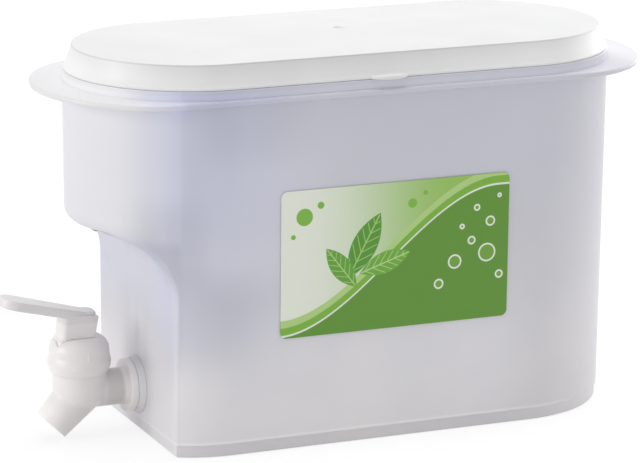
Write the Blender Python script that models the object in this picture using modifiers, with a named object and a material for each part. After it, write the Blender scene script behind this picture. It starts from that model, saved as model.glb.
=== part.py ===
# Fridge water jug with a lever tap in a recess at one end.
# Metres, +Z up. The origin is under the middle of the straight sides, at the level of the base.
# The tap points along -X, and the labelled side faces -Y.

import math

import bmesh
import bpy
from mathutils import Vector

# Container
STRAIGHT_HALF = 0.0757
BODY_RADIUS = 0.0587
DRAFT_SLOPE_SHARE = 0.008
WALL = 0.0022
FLOOR = 0.0030
FOOT_HEIGHT = 0.0044
FOOT_INSET = 0.0007
FOOT_ROUND = 0.0009
FLANGE_Z = 0.1645
COLLAR_HEIGHT = 0.0072

# Flange with a grip at each end
FLANGE_THICKNESS = 0.0027
GRIP_OFFSET = 0.0213
FLANGE_END_REACH = 0.0529
FLANGE_PROUD = 0.0022

# Recess under the overhang at the tap end
RECESS_DEPTH = 0.0323
RECESS_CEILING_Z = 0.1019
RECESS_FILLET = 0.0275

# Lid
LID_EDGE_INSET = 0.0004
LID_BAND_HEIGHT = 0.0050
LID_BAND_TAPER = 0.0003
LID_STEP_HEIGHT = 0.0010
LID_STEP_INSET = 0.0015
LID_HEIGHT = 0.0110
LID_SLOPE_INSET = 0.0022
LID_CROWN = 0.0017
LID_TOP_THICKNESS = 0.0020
LID_RIB_DEPTH = 0.0080
LID_RIB_THICKNESS = 0.0017
LID_RIB_LEAD = 0.0008
LID_DIMPLE_RADIUS = 0.0034
LID_DIMPLE_DEPTH = 0.0008
TAB_LENGTH = 0.0210
TAB_REACH = 0.0040
TAB_THICKNESS = 0.0017

# Label
LABEL_LENGTH = 0.1150
LABEL_HEIGHT = 0.0693
LABEL_CENTRE_X = 0.0040
LABEL_CENTRE_Z = 0.0882
LABEL_CORNER = 0.0030
LABEL_THICKNESS = 0.0003

# Tap body
TAP_AXIS_Z = 0.0218
BARREL_REACH = 0.0286
BARREL_RADIUS = 0.0126
BARREL_TOP = 0.0100
NECK_RADIUS = 0.0112
NECK_HEIGHT = 0.0060
CHAMBER_RADIUS = 0.0090
SEAT_DROP = 0.0055
SEAT_THICKNESS = 0.0020
SEAT_HOLE_RADIUS = 0.0045
SPOUT_TILT = math.radians(45)
SPOUT_ROOT_DROP = 0.0011
SPOUT_LENGTH = 0.0200
SPOUT_END_RADIUS = 0.0089
SPOUT_BORE_RADIUS = 0.0068
SHANK_RADIUS = 0.0087
SHANK_FLANGE_RADIUS = 0.0126
SHANK_FLANGE_THICKNESS = 0.0035
THREAD_RADIUS = 0.0076
THREAD_END = 0.0035
SHANK_BORE_RADIUS = 0.0050

# Tap mounting
HOLE_CLEARANCE = 0.0005
WASHER_RADIUS = 0.0134
OUTER_WASHER_THICKNESS = 0.0027
INNER_WASHER_THICKNESS = 0.0020
NUT_ACROSS_FLATS = 0.0240
NUT_THICKNESS = 0.0080

# Bonnet
BONNET_RADIUS = 0.0142
BONNET_HEIGHT = 0.0162
BONNET_SHOULDER = 0.0050
BONNET_WEB = 0.0016
SLOT_HALF_WIDTH = 0.0047
SLOT_FRONT = 0.0109
SLOT_REAR = 0.0046
STEM_HOLE_RADIUS = 0.0021

# Lever, its tilt at rest and its travel
PIVOT_OFFSET = 0.0060
PIVOT_BELOW_TOP = 0.0042
PIN_RADIUS = 0.0011
PIN_INSET = 0.0006
EYE_RADIUS = 0.0023
EYE_PROUD = 0.0002
LEVER_TILT = math.radians(14.6)
LEVER_TRAVEL = math.radians(18)
PADDLE_LENGTH = 0.0490
PADDLE_THICKNESS = 0.0044
PADDLE_TIP_WIDTH = 0.0160
PADDLE_REAR_WIDTH = 0.0130
PADDLE_RISE = 0.0101
PADDLE_REAR_OFFSET = 0.0095
PADDLE_EDGE = 0.0010
NECK_LENGTH = 0.0153
NECK_INSET = 0.0008
NECK_CORNER = 0.0016
TONGUE_HALF_WIDTH = 0.0042
TONGUE_FRONT = 0.0027
TONGUE_REAR = 0.0019
PRONG_THICKNESS = 0.0014
PRONG_BELOW_PIVOT = 0.0007
PRONG_LENGTH = 0.0084
PRONG_GAP = 0.0005

# Valve
STEM_RADIUS = 0.0016
STEM_HEAD_RADIUS = 0.0032
STEM_HEAD_THICKNESS = 0.0016
STEM_HEAD_PLAY = 0.0006
PLUG_RADIUS = 0.0066
PLUG_DISC = 0.0022
PLUG_HUB_RADIUS = 0.0036
PLUG_HUB_HEIGHT = 0.0050
PLUG_SOCKET_FLOOR = 0.0021
SEAL_THICKNESS = 0.0011
SPRING_RADIUS = 0.0046
SPRING_WIRE_RADIUS = 0.0004
SPRING_TURNS = 8

# Clearances and cutter overrun
GAP = 0.0003
RIB_CLEARANCE = 0.0004
OVERRUN = 0.0050

# Fineness of round shapes
END_STEPS = 24
FILLET_STEPS = 10
ROUND_STEPS = 40
SPRING_POINTS_PER_TURN = 10
CROWN_RING_SHARES = (0.85, 0.6, 0.3, 0.08)

# Places worked out from the sizes above
COLLAR_TOP_Z = FLANGE_Z + COLLAR_HEIGHT
END_X = STRAIGHT_HALF + BODY_RADIUS
FLANGE_STRAIGHT_HALF = STRAIGHT_HALF + GRIP_OFFSET
FOOT_STEP_Z = FOOT_HEIGHT + FOOT_INSET
RECESS_X = -(END_X - RECESS_DEPTH)
LID_EDGE_RADIUS = BODY_RADIUS - LID_EDGE_INSET
LID_BAND_RADIUS = LID_EDGE_RADIUS - LID_BAND_TAPER
LID_SLOPE_RADIUS = LID_BAND_RADIUS - LID_STEP_INSET
LID_TOP_RADIUS = LID_SLOPE_RADIUS - LID_SLOPE_INSET
LID_EDGE_Z = COLLAR_TOP_Z + GAP
LID_CREASE_Z = LID_EDGE_Z + LID_HEIGHT
BARREL_X = RECESS_X - BARREL_REACH
BARREL_TOP_Z = TAP_AXIS_Z + BARREL_TOP
NECK_TOP_Z = BARREL_TOP_Z + NECK_HEIGHT
SEAT_Z = TAP_AXIS_Z - SEAT_DROP
WASHER_X = RECESS_X - GAP - OUTER_WASHER_THICKNESS
SHANK_FLANGE_X = WASHER_X - GAP
INNER_WASHER_X = RECESS_X + WALL + GAP
NUT_X = INNER_WASHER_X + INNER_WASHER_THICKNESS + GAP
SHANK_END_X = NUT_X + NUT_THICKNESS + THREAD_END
THREAD_HOLE_RADIUS = THREAD_RADIUS + HOLE_CLEARANCE
BONNET_Z = BARREL_TOP_Z + GAP
BONNET_TOP_Z = BONNET_Z + BONNET_HEIGHT
SEAL_Z = NECK_TOP_Z + GAP
WEB_Z = SEAL_Z + SEAL_THICKNESS + GAP
WEB_TOP_Z = WEB_Z + BONNET_WEB
PIVOT_X = BARREL_X - PIVOT_OFFSET
PIVOT_Z = BONNET_TOP_Z - PIVOT_BELOW_TOP
PIN_HOLE_RADIUS = PIN_RADIUS + GAP
PRONG_TOP_Z = PIVOT_Z - PRONG_BELOW_PIVOT
STEM_HEAD_Z = PRONG_TOP_Z + STEM_HEAD_PLAY
PLUG_Z = SEAT_Z + GAP
STEM_BOTTOM_Z = PLUG_Z + PLUG_SOCKET_FLOOR + GAP
SPRING_BOTTOM_Z = PLUG_Z + PLUG_DISC + GAP
SPRING_TOP_Z = NECK_TOP_Z

PART = "fridge_water_jug"
CUTTERS = "cutters"


def start_scene():
    for obj in list(bpy.data.objects):
        bpy.data.objects.remove(obj)
    for name in (PART, CUTTERS):
        collection = bpy.data.collections.new(name)
        bpy.context.scene.collection.children.link(collection)
    bpy.data.collections[CUTTERS].hide_render = True


def make_material(name, color, roughness, alpha=1.0):
    material = bpy.data.materials.new(name)
    material.use_nodes = True
    shader = material.node_tree.nodes["Principled BSDF"]
    shader.inputs["Base Color"].default_value = (*color, 1.0)
    shader.inputs["Roughness"].default_value = roughness
    shader.inputs["Metallic"].default_value = 0.0
    shader.inputs["Alpha"].default_value = alpha
    return material


def add_object(name, data, material=None):
    """A part with its material, or a hidden cutter without one."""
    obj = bpy.data.objects.new(name, data)
    bpy.data.collections[PART if material else CUTTERS].objects.link(obj)
    if material:
        data.materials.append(material)
    else:
        obj.hide_render = True
        obj.display_type = "WIRE"
    return obj


def smooth(obj, angle=math.radians(35)):
    obj.data.shade_smooth()
    obj.data.set_sharp_from_angle(angle=angle)


def mesh_from(name, bm):
    mesh = bpy.data.meshes.new(name)
    bm.to_mesh(mesh)
    bm.free()
    return mesh


def boolean(obj, other, operation="DIFFERENCE"):
    modifier = obj.modifiers.new(f"{operation.lower()}_{other.name}", "BOOLEAN")
    modifier.operation = operation
    modifier.object = other
    modifier.solver = "EXACT"


def split_faces(obj):
    """Makes every face a triangle, so that later cuts meet only flat faces."""
    obj.modifiers.new("split_faces", "TRIANGULATE")


def oval_ring(straight, end, half_width, z):
    """A level outline with two straight sides and half an ellipse at each end."""
    ring = []
    for side in (1, -1):
        for step in range(END_STEPS + 1):
            angle = math.pi * (step / END_STEPS - 0.5)
            x = side * (straight + end * math.cos(angle))
            ring.append(Vector((x, side * half_width * math.sin(angle), z)))
    return ring


def stadium_ring(radius, z):
    return oval_ring(STRAIGHT_HALF, radius, radius, z)


def loft(name, rings, material=None):
    """A closed solid through level rings with equal counts of points, from bottom to top."""
    bm = bmesh.new()
    rows = [[bm.verts.new(point) for point in ring] for ring in rings]
    count = len(rows[0])
    for lower, upper in zip(rows, rows[1:]):
        for i in range(count):
            j = (i + 1) % count
            bm.faces.new((lower[i], lower[j], upper[j], upper[i]))
    bm.faces.new(reversed(rows[0]))
    bm.faces.new(rows[-1])
    return add_object(name, mesh_from(name, bm), material)


def turned(name, profile, material=None, steps=ROUND_STEPS):
    """A profile of (radius, height) points, down its outer side, turned about the object's Z."""
    bm = bmesh.new()
    verts = [bm.verts.new((radius, 0, height)) for radius, height in profile]
    closed = profile[0][0] > 0
    for first, second in zip(verts, verts[1:] + verts[:1] if closed else verts[1:]):
        bm.edges.new((first, second))
    obj = add_object(name, mesh_from(name, bm), material)
    screw = obj.modifiers.new("screw", "SCREW")
    screw.steps = steps
    screw.render_steps = steps
    screw.use_merge_vertices = True
    screw.merge_threshold = GAP / 10
    return obj


def rod_profile(radius, low, high):
    return [(0, high), (radius, high), (radius, low), (0, low)]


def ring_profile(outer, inner, low, high):
    return [(outer, high), (outer, low), (inner, low), (inner, high)]


def along_x(obj, z):
    """Turns an object's +Z to point along +X, at height z."""
    obj.rotation_euler = (0, math.radians(90), 0)
    obj.location = (0, 0, z)


def slab(name, outline, thickness, material=None):
    """A flat outline of (x, y) points as a solid of this thickness about its own plane."""
    curve = bpy.data.curves.new(name, "CURVE")
    curve.dimensions = "2D"
    curve.fill_mode = "BOTH"
    curve.extrude = thickness / 2
    spline = curve.splines.new("POLY")
    spline.points.add(len(outline) - 1)
    for point, (x, y) in zip(spline.points, outline):
        point.co = (x, y, 0, 1)
    spline.use_cyclic_u = True
    obj = bpy.data.objects.new(name, curve)
    bpy.context.scene.collection.objects.link(obj)
    graph = bpy.context.evaluated_depsgraph_get()
    mesh = bpy.data.meshes.new_from_object(obj.evaluated_get(graph))
    bpy.data.objects.remove(obj)
    bm = bmesh.new()
    bm.from_mesh(mesh)
    bpy.data.meshes.remove(mesh)
    bmesh.ops.remove_doubles(bm, verts=bm.verts, dist=GAP / 100)
    bmesh.ops.recalc_face_normals(bm, faces=bm.faces)
    return add_object(name, mesh_from(name, bm), material)


def upright(obj):
    """Stands a slab in the XZ plane, with its own Y along +Z."""
    obj.rotation_euler = (math.radians(90), 0, 0)


def arc(centre_x, centre_y, radius, start, end, steps=FILLET_STEPS):
    points = []
    for step in range(steps + 1):
        angle = math.radians(start + (end - start) * step / steps)
        points.append((centre_x + radius * math.cos(angle), centre_y + radius * math.sin(angle)))
    return points


def body_radius(z):
    """The container's outer half width at a height, with its draft."""
    return BODY_RADIUS - DRAFT_SLOPE_SHARE * (FLANGE_Z - z)


def recess_outline(inset):
    """The recess seen along Y. The inset moves its wall and its ceiling into the container."""
    centre_x = RECESS_X - RECESS_FILLET
    centre_z = RECESS_CEILING_Z - RECESS_FILLET
    radius = RECESS_FILLET + inset
    outside_x = -(END_X + OVERRUN)
    foot_x = RECESS_X + FOOT_INSET + inset
    outline = [(outside_x, -OVERRUN), (foot_x, -OVERRUN), (foot_x, FOOT_HEIGHT)]
    outline.append((RECESS_X + inset, FOOT_STEP_Z))
    outline += arc(centre_x, centre_z, radius, 0, 90)
    outline.append((outside_x, RECESS_CEILING_Z + inset))
    return outline


def recess_cutter(name, inset):
    cutter = slab(name, recess_outline(inset), 2 * (BODY_RADIUS + OVERRUN))
    upright(cutter)
    return cutter


def make_container(material):
    foot = body_radius(0) - FOOT_INSET
    container = loft(
        "container",
        [
            stadium_ring(foot - FOOT_ROUND, 0),
            stadium_ring(foot, FOOT_ROUND),
            stadium_ring(foot, FOOT_HEIGHT),
            stadium_ring(body_radius(FOOT_STEP_Z), FOOT_STEP_Z),
            stadium_ring(body_radius(COLLAR_TOP_Z), COLLAR_TOP_Z),
        ],
        material,
    )
    boolean(container, recess_cutter("recess", 0))
    flange_rings = [
        oval_ring(FLANGE_STRAIGHT_HALF, FLANGE_END_REACH, BODY_RADIUS + FLANGE_PROUD, z)
        for z in (FLANGE_Z, FLANGE_Z + FLANGE_THICKNESS)
    ]
    boolean(container, loft("flange", flange_rings), "UNION")
    cavity = loft(
        "cavity",
        [
            stadium_ring(body_radius(FLOOR) - WALL, FLOOR),
            stadium_ring(body_radius(COLLAR_TOP_Z) - WALL, COLLAR_TOP_Z + OVERRUN),
        ],
    )
    boolean(cavity, recess_cutter("recess_inside", WALL))
    boolean(container, cavity)
    low, high = RECESS_X - OVERRUN, RECESS_X + WALL + OVERRUN
    hole = turned("tap_hole", rod_profile(THREAD_HOLE_RADIUS, low, high))
    along_x(hole, TAP_AXIS_Z)
    boolean(container, hole)
    smooth(container)


def make_label(material):
    half_x = LABEL_LENGTH / 2 - LABEL_CORNER
    half_z = LABEL_HEIGHT / 2 - LABEL_CORNER
    outline = []
    for side_x, side_z, start in ((1, 1, 0), (-1, 1, 90), (-1, -1, 180), (1, -1, 270)):
        outline += arc(side_x * half_x, side_z * half_z, LABEL_CORNER, start, start + 90)
    label = slab("label", outline, LABEL_THICKNESS, material)
    lean = math.atan(DRAFT_SLOPE_SHARE)
    label.rotation_euler = (math.radians(90) + lean, 0, 0)
    face_y = -(body_radius(LABEL_CENTRE_Z) + GAP + LABEL_THICKNESS / 2)
    label.location = (LABEL_CENTRE_X, face_y, LABEL_CENTRE_Z)


def make_lid(material):
    rib_z = LID_EDGE_Z - LID_RIB_DEPTH
    rib_radius = body_radius(rib_z) - WALL - RIB_CLEARANCE
    band_z = LID_EDGE_Z + LID_BAND_HEIGHT
    outer = [
        (rib_radius - LID_RIB_LEAD, rib_z),
        (rib_radius, rib_z + LID_RIB_LEAD),
        (rib_radius, LID_EDGE_Z),
        (LID_EDGE_RADIUS, LID_EDGE_Z),
        (LID_BAND_RADIUS, band_z),
        (LID_SLOPE_RADIUS, band_z + LID_STEP_HEIGHT),
        (LID_TOP_RADIUS, LID_CREASE_Z),
    ]
    for share in CROWN_RING_SHARES:
        outer.append((LID_TOP_RADIUS * share, LID_CREASE_Z + LID_CROWN * (1 - share**2)))
    lid = loft("lid", [stadium_ring(radius, z) for radius, z in outer], material)
    inside_radius = rib_radius - LID_RIB_THICKNESS
    ceiling_z = LID_CREASE_Z - LID_TOP_THICKNESS
    inside = [
        stadium_ring(inside_radius, rib_z - OVERRUN),
        stadium_ring(inside_radius, band_z),
        stadium_ring(inside_radius - LID_SLOPE_INSET, ceiling_z),
    ]
    tab_profile = rod_profile(TAB_LENGTH / 2, LID_EDGE_Z, LID_EDGE_Z + TAB_THICKNESS)
    tab = turned("pull_tab", tab_profile)
    tab.scale = (1, 4 * TAB_REACH / TAB_LENGTH, 1)
    tab.location = (0, -(LID_EDGE_RADIUS - TAB_REACH), 0)
    boolean(lid, tab, "UNION")
    boolean(lid, loft("lid_inside", inside))
    dimple_z = LID_CREASE_Z + LID_CROWN
    low, high = dimple_z - LID_DIMPLE_DEPTH, dimple_z + OVERRUN
    boolean(lid, turned("dimple", rod_profile(LID_DIMPLE_RADIUS, low, high)))
    smooth(lid)


def make_spout():
    """The tapered outside of the spout, from the barrel's axis down to its end."""
    profile = [
        (0, 0),
        (BARREL_RADIUS, 0),
        (SPOUT_END_RADIUS, -SPOUT_LENGTH),
        (0, -SPOUT_LENGTH),
    ]
    spout = turned("spout", profile)
    place_on_spout(spout)
    return spout


def place_on_spout(obj):
    obj.rotation_euler = (0, SPOUT_TILT, 0)
    obj.location = (BARREL_X, 0, TAP_AXIS_Z - SPOUT_ROOT_DROP)


def make_spout_bore():
    """The slanted bore below the valve seat."""
    bore = turned("spout_bore", rod_profile(SPOUT_BORE_RADIUS, -SPOUT_LENGTH - OVERRUN, OVERRUN))
    place_on_spout(bore)
    roof_low = SEAT_Z - SEAT_THICKNESS
    roof = turned("seat_roof", rod_profile(SPOUT_LENGTH + OVERRUN, roof_low, roof_low + SPOUT_LENGTH))
    roof.location = (BARREL_X, 0, 0)
    boolean(bore, roof)
    return bore


def make_tap_body(material):
    profile = [
        (0, NECK_TOP_Z),
        (NECK_RADIUS, NECK_TOP_Z),
        (NECK_RADIUS, BARREL_TOP_Z),
        (BARREL_RADIUS, BARREL_TOP_Z),
    ]
    profile += arc(0, TAP_AXIS_Z, BARREL_RADIUS, 0, -90)[:-1]
    profile.append((0, TAP_AXIS_Z - BARREL_RADIUS))
    body = turned("tap_body", profile, material)
    body.location = (BARREL_X, 0, 0)
    boolean(body, make_spout(), "UNION")
    flange_front = SHANK_FLANGE_X - SHANK_FLANGE_THICKNESS
    shank_profile = [
        (0, SHANK_END_X),
        (THREAD_RADIUS, SHANK_END_X),
        (THREAD_RADIUS, SHANK_FLANGE_X),
        (SHANK_FLANGE_RADIUS, SHANK_FLANGE_X),
        (SHANK_FLANGE_RADIUS, flange_front),
        (SHANK_RADIUS, flange_front),
        (SHANK_RADIUS, BARREL_X),
        (0, BARREL_X),
    ]
    shank = turned("shank", shank_profile)
    along_x(shank, TAP_AXIS_Z)
    boolean(body, shank, "UNION")
    chamber = turned("chamber", rod_profile(CHAMBER_RADIUS, SEAT_Z, NECK_TOP_Z + OVERRUN))
    seat_low = SEAT_Z - SEAT_THICKNESS - SEAT_HOLE_RADIUS / 2
    seat_hole = turned("seat_hole", rod_profile(SEAT_HOLE_RADIUS, seat_low, SEAT_Z + SEAT_DROP / 2))
    for cutter in (chamber, seat_hole):
        cutter.location = (BARREL_X, 0, 0)
        boolean(body, cutter)
    boolean(body, make_spout_bore())
    split_faces(body)
    shank_bore = turned("shank_bore", rod_profile(SHANK_BORE_RADIUS, BARREL_X, SHANK_END_X + OVERRUN))
    along_x(shank_bore, TAP_AXIS_Z)
    boolean(body, shank_bore)
    smooth(body)


def make_washer(name, x, thickness, material):
    washer = turned(name, ring_profile(WASHER_RADIUS, THREAD_HOLE_RADIUS, x, x + thickness), material)
    along_x(washer, TAP_AXIS_Z)
    smooth(washer)


def make_back_nut(material):
    corner = NUT_ACROSS_FLATS / 2 / math.cos(math.radians(30))
    outline = arc(0, 0, corner, 0, 300, 5)
    nut = slab("back_nut", outline, NUT_THICKNESS, material)
    along_x(nut, TAP_AXIS_Z)
    nut.location.x = NUT_X + NUT_THICKNESS / 2
    low, high = NUT_X - OVERRUN, NUT_X + NUT_THICKNESS + OVERRUN
    hole = turned("nut_hole", rod_profile(THREAD_RADIUS + GAP, low, high))
    along_x(hole, TAP_AXIS_Z)
    boolean(nut, hole)


def make_bonnet(material):
    shoulder_radius = BONNET_RADIUS - BONNET_SHOULDER
    profile = [(0, BONNET_TOP_Z)]
    profile += arc(shoulder_radius, BONNET_TOP_Z - BONNET_SHOULDER, BONNET_SHOULDER, 90, 0)
    profile += [(BONNET_RADIUS, BONNET_Z), (0, BONNET_Z)]
    bonnet = turned("tap_bonnet", profile, material)
    bonnet.location = (BARREL_X, 0, 0)
    inside = turned("bonnet_inside", rod_profile(NECK_RADIUS + GAP, BONNET_Z - OVERRUN, WEB_Z))
    hole_profile = rod_profile(STEM_HOLE_RADIUS, WEB_Z - BONNET_WEB, WEB_TOP_Z + BONNET_WEB)
    stem_hole = turned("stem_hole", hole_profile)
    for cutter in (inside, stem_hole):
        cutter.location = (BARREL_X, 0, 0)
        boolean(bonnet, cutter)
    slot_outline = box_outline(-SLOT_FRONT, SLOT_REAR, WEB_TOP_Z, BONNET_TOP_Z + OVERRUN)
    slot = slab("slot", slot_outline, 2 * SLOT_HALF_WIDTH)
    upright(slot)
    slot.location = (BARREL_X, 0, 0)
    boolean(bonnet, slot)
    split_faces(bonnet)
    low, high = pin_ends()
    pin_hole = turned("pin_hole", rod_profile(PIN_HOLE_RADIUS, low - GAP, high + OVERRUN))
    along_y(pin_hole)
    boolean(bonnet, pin_hole)
    smooth(bonnet)


def box_outline(low_x, high_x, low_y, high_y):
    return [(low_x, low_y), (high_x, low_y), (high_x, high_y), (low_x, high_y)]


def along_y(obj):
    """Turns an object's +Z to point along +Y, on the lever's pivot."""
    obj.rotation_euler = (math.radians(-90), 0, 0)
    obj.location = (PIVOT_X, 0, PIVOT_Z)


def pin_ends():
    """Where the pin starts and ends along Y: it goes in from the +Y side."""
    surface = math.sqrt(BONNET_RADIUS**2 - PIVOT_OFFSET**2)
    return -(surface - BONNET_WEB - PIN_INSET), surface - PIN_INSET


def make_lever_pin(material):
    low, high = pin_ends()
    pin = turned("lever_pin", rod_profile(PIN_RADIUS, low, high), material, steps=20)
    along_y(pin)
    smooth(pin)


def make_paddle():
    """The lever's plate, flat on its own plane, with its rear end at the local origin."""
    tip_half = PADDLE_TIP_WIDTH / 2
    rear_half = PADDLE_REAR_WIDTH / 2
    round_x = PADDLE_LENGTH - tip_half
    outline = [(0, rear_half), (0, -rear_half)]
    outline += [(-x, y) for x, y in arc(round_x, 0, tip_half, -90, 90)]
    paddle = slab("paddle", outline, PADDLE_THICKNESS)
    bevel = paddle.modifiers.new("edge", "BEVEL")
    bevel.width = PADDLE_EDGE
    bevel.segments = 2
    bevel.limit_method = "ANGLE"
    bevel.angle_limit = math.radians(50)
    return paddle


def paddle_point(along, down):
    """A place in the XZ plane, along the lever's slope from its rear end and down from its top."""
    rear_x = BARREL_X + PADDLE_REAR_OFFSET
    rear_z = BONNET_TOP_Z + PADDLE_RISE
    x = rear_x - along * math.cos(LEVER_TILT) - down * math.sin(LEVER_TILT)
    z = rear_z + along * math.sin(LEVER_TILT) - down * math.cos(LEVER_TILT)
    return x, z


def neck_outline():
    """The neck under the paddle, seen along Y, relative to the pivot. Its foot clears the bonnet."""
    foot_z = BONNET_TOP_Z + GAP
    outline = []
    for along in (NECK_INSET, NECK_INSET + NECK_LENGTH):
        x, z = paddle_point(along, PADDLE_THICKNESS / 2)
        down = (z - foot_z) / math.cos(LEVER_TILT)
        outline.append(((x, z), (x - down * math.sin(LEVER_TILT), foot_z)))
    (rear_top, rear_foot), (front_top, front_foot) = outline
    front_reach = PIVOT_X - front_foot[0]
    lifted = foot_z + (front_reach + GAP) * math.tan(LEVER_TRAVEL) + GAP
    slant_x = front_foot[0] + (lifted - foot_z) * math.tan(LEVER_TILT)
    places = [rear_top, front_top, (slant_x, lifted), (PIVOT_X, foot_z), rear_foot]
    return [(x - PIVOT_X, z - PIVOT_Z) for x, z in places]


def make_lever(material):
    neck = slab("tap_lever", neck_outline(), PADDLE_REAR_WIDTH, material)
    upright(neck)
    neck.location = (PIVOT_X, 0, PIVOT_Z)
    corner = neck.modifiers.new("corners", "BEVEL")
    corner.width = NECK_CORNER
    corner.segments = 2
    corner.limit_method = "ANGLE"
    corner.angle_limit = math.radians(80)
    paddle = make_paddle()
    middle_x, middle_z = paddle_point(0, PADDLE_THICKNESS / 2)
    paddle.rotation_euler = (0, LEVER_TILT, 0)
    paddle.location = (middle_x, 0, middle_z)
    boolean(neck, paddle, "UNION")
    tongue_top = BONNET_TOP_Z + NECK_INSET + NECK_CORNER - PIVOT_Z
    tongue_outline = box_outline(-TONGUE_FRONT, TONGUE_REAR, 0, tongue_top)
    tongue = slab("tongue", tongue_outline, 2 * TONGUE_HALF_WIDTH)
    upright(tongue)
    tongue.location = (PIVOT_X, 0, PIVOT_Z)
    boolean(neck, tongue, "UNION")
    eye_half = TONGUE_HALF_WIDTH + EYE_PROUD
    eye = turned("eye", rod_profile(EYE_RADIUS, -eye_half, eye_half))
    along_y(eye)
    boolean(neck, eye, "UNION")
    inner_y = STEM_RADIUS + PRONG_GAP
    outer_y = TONGUE_HALF_WIDTH - EYE_PROUD
    prong_outline = box_outline(0, PRONG_LENGTH, -PRONG_BELOW_PIVOT - PRONG_THICKNESS, -PRONG_BELOW_PIVOT)
    for name, side in (("prong_near", -1), ("prong_far", 1)):
        prong = slab(name, prong_outline, outer_y - inner_y)
        upright(prong)
        prong.location = (PIVOT_X, side * (outer_y + inner_y) / 2, PIVOT_Z)
        boolean(neck, prong, "UNION")
    eye_hole = turned("eye_hole", rod_profile(PIN_HOLE_RADIUS, -SLOT_HALF_WIDTH, SLOT_HALF_WIDTH))
    along_y(eye_hole)
    boolean(neck, eye_hole)
    smooth(neck)


def make_stem(material):
    head_top = STEM_HEAD_Z + STEM_HEAD_THICKNESS
    profile = [
        (0, head_top),
        (STEM_HEAD_RADIUS, head_top),
        (STEM_HEAD_RADIUS, STEM_HEAD_Z),
        (STEM_RADIUS, STEM_HEAD_Z),
        (STEM_RADIUS, STEM_BOTTOM_Z),
        (0, STEM_BOTTOM_Z),
    ]
    stem = turned("valve_stem", profile, material, steps=24)
    stem.location = (BARREL_X, 0, 0)
    smooth(stem)


def make_plug(material):
    disc_top = PLUG_Z + PLUG_DISC
    hub_top = disc_top + PLUG_HUB_HEIGHT
    socket_radius = STEM_RADIUS + GAP
    socket_z = PLUG_Z + PLUG_SOCKET_FLOOR
    profile = [
        (0, socket_z),
        (socket_radius, socket_z),
        (socket_radius, hub_top),
        (PLUG_HUB_RADIUS, hub_top),
        (PLUG_HUB_RADIUS, disc_top),
        (PLUG_RADIUS, disc_top),
        (PLUG_RADIUS, PLUG_Z),
        (0, PLUG_Z),
    ]
    plug = turned("valve_plug", profile, material, steps=24)
    plug.location = (BARREL_X, 0, 0)
    smooth(plug)


def make_seal(material):
    profile = ring_profile(NECK_RADIUS, STEM_RADIUS + GAP, SEAL_Z, SEAL_Z + SEAL_THICKNESS)
    seal = turned("stem_seal", profile, material)
    seal.location = (BARREL_X, 0, 0)
    smooth(seal)


def make_spring(material):
    """An open coil between the plug's disc and the seal."""
    low = SPRING_BOTTOM_Z + SPRING_WIRE_RADIUS
    high = SPRING_TOP_Z - SPRING_WIRE_RADIUS
    count = SPRING_TURNS * SPRING_POINTS_PER_TURN
    curve = bpy.data.curves.new("stem_spring", "CURVE")
    curve.dimensions = "3D"
    curve.bevel_depth = SPRING_WIRE_RADIUS
    curve.bevel_resolution = 1
    curve.use_fill_caps = True
    spline = curve.splines.new("POLY")
    spline.points.add(count)
    for step, point in enumerate(spline.points):
        angle = 2 * math.pi * step / SPRING_POINTS_PER_TURN
        x, y = SPRING_RADIUS * math.cos(angle), SPRING_RADIUS * math.sin(angle)
        point.co = (x, y, low + (high - low) * step / count, 1)
    spring = add_object("stem_spring", curve, material)
    spring.location = (BARREL_X, 0, 0)


def main():
    start_scene()
    frosted = make_material("frosted polypropylene", (0.76, 0.78, 0.84), 0.4, 0.9)
    lid_white = make_material("white polypropylene", (0.90, 0.90, 0.90), 0.45)
    printed = make_material("printed label film", (0.46, 0.66, 0.12), 0.35)
    tap_white = make_material("white tap plastic", (0.86, 0.86, 0.87), 0.35)
    pin_steel = make_material("stainless pin", (0.60, 0.60, 0.61), 0.30)
    spring_steel = make_material("stainless spring wire", (0.58, 0.58, 0.60), 0.30)
    silicone = make_material("clear silicone", (0.80, 0.80, 0.79), 0.55)
    for metal in (pin_steel, spring_steel):
        metal.node_tree.nodes["Principled BSDF"].inputs["Metallic"].default_value = 1.0
    make_container(frosted)
    make_label(printed)
    make_lid(lid_white)
    make_tap_body(tap_white)
    make_washer("outer_washer", WASHER_X, OUTER_WASHER_THICKNESS, silicone)
    make_washer("inner_washer", INNER_WASHER_X, INNER_WASHER_THICKNESS, silicone)
    make_back_nut(tap_white)
    make_bonnet(tap_white)
    make_lever(tap_white)
    make_lever_pin(pin_steel)
    make_stem(tap_white)
    make_plug(silicone)
    make_seal(silicone)
    make_spring(spring_steel)


main()
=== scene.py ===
import math
from functools import partial

import bmesh
import bpy
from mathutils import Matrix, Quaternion, Vector


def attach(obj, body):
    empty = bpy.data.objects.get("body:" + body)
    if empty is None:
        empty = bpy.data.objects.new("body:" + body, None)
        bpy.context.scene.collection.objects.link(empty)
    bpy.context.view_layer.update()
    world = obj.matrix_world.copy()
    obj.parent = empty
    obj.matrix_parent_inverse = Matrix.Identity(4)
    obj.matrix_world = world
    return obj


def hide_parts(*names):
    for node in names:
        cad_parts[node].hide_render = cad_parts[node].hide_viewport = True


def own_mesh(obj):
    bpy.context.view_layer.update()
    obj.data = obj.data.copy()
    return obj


# Fridge water jug with a lever tap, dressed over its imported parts. Metres, +Z up, tap towards -X.

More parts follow.
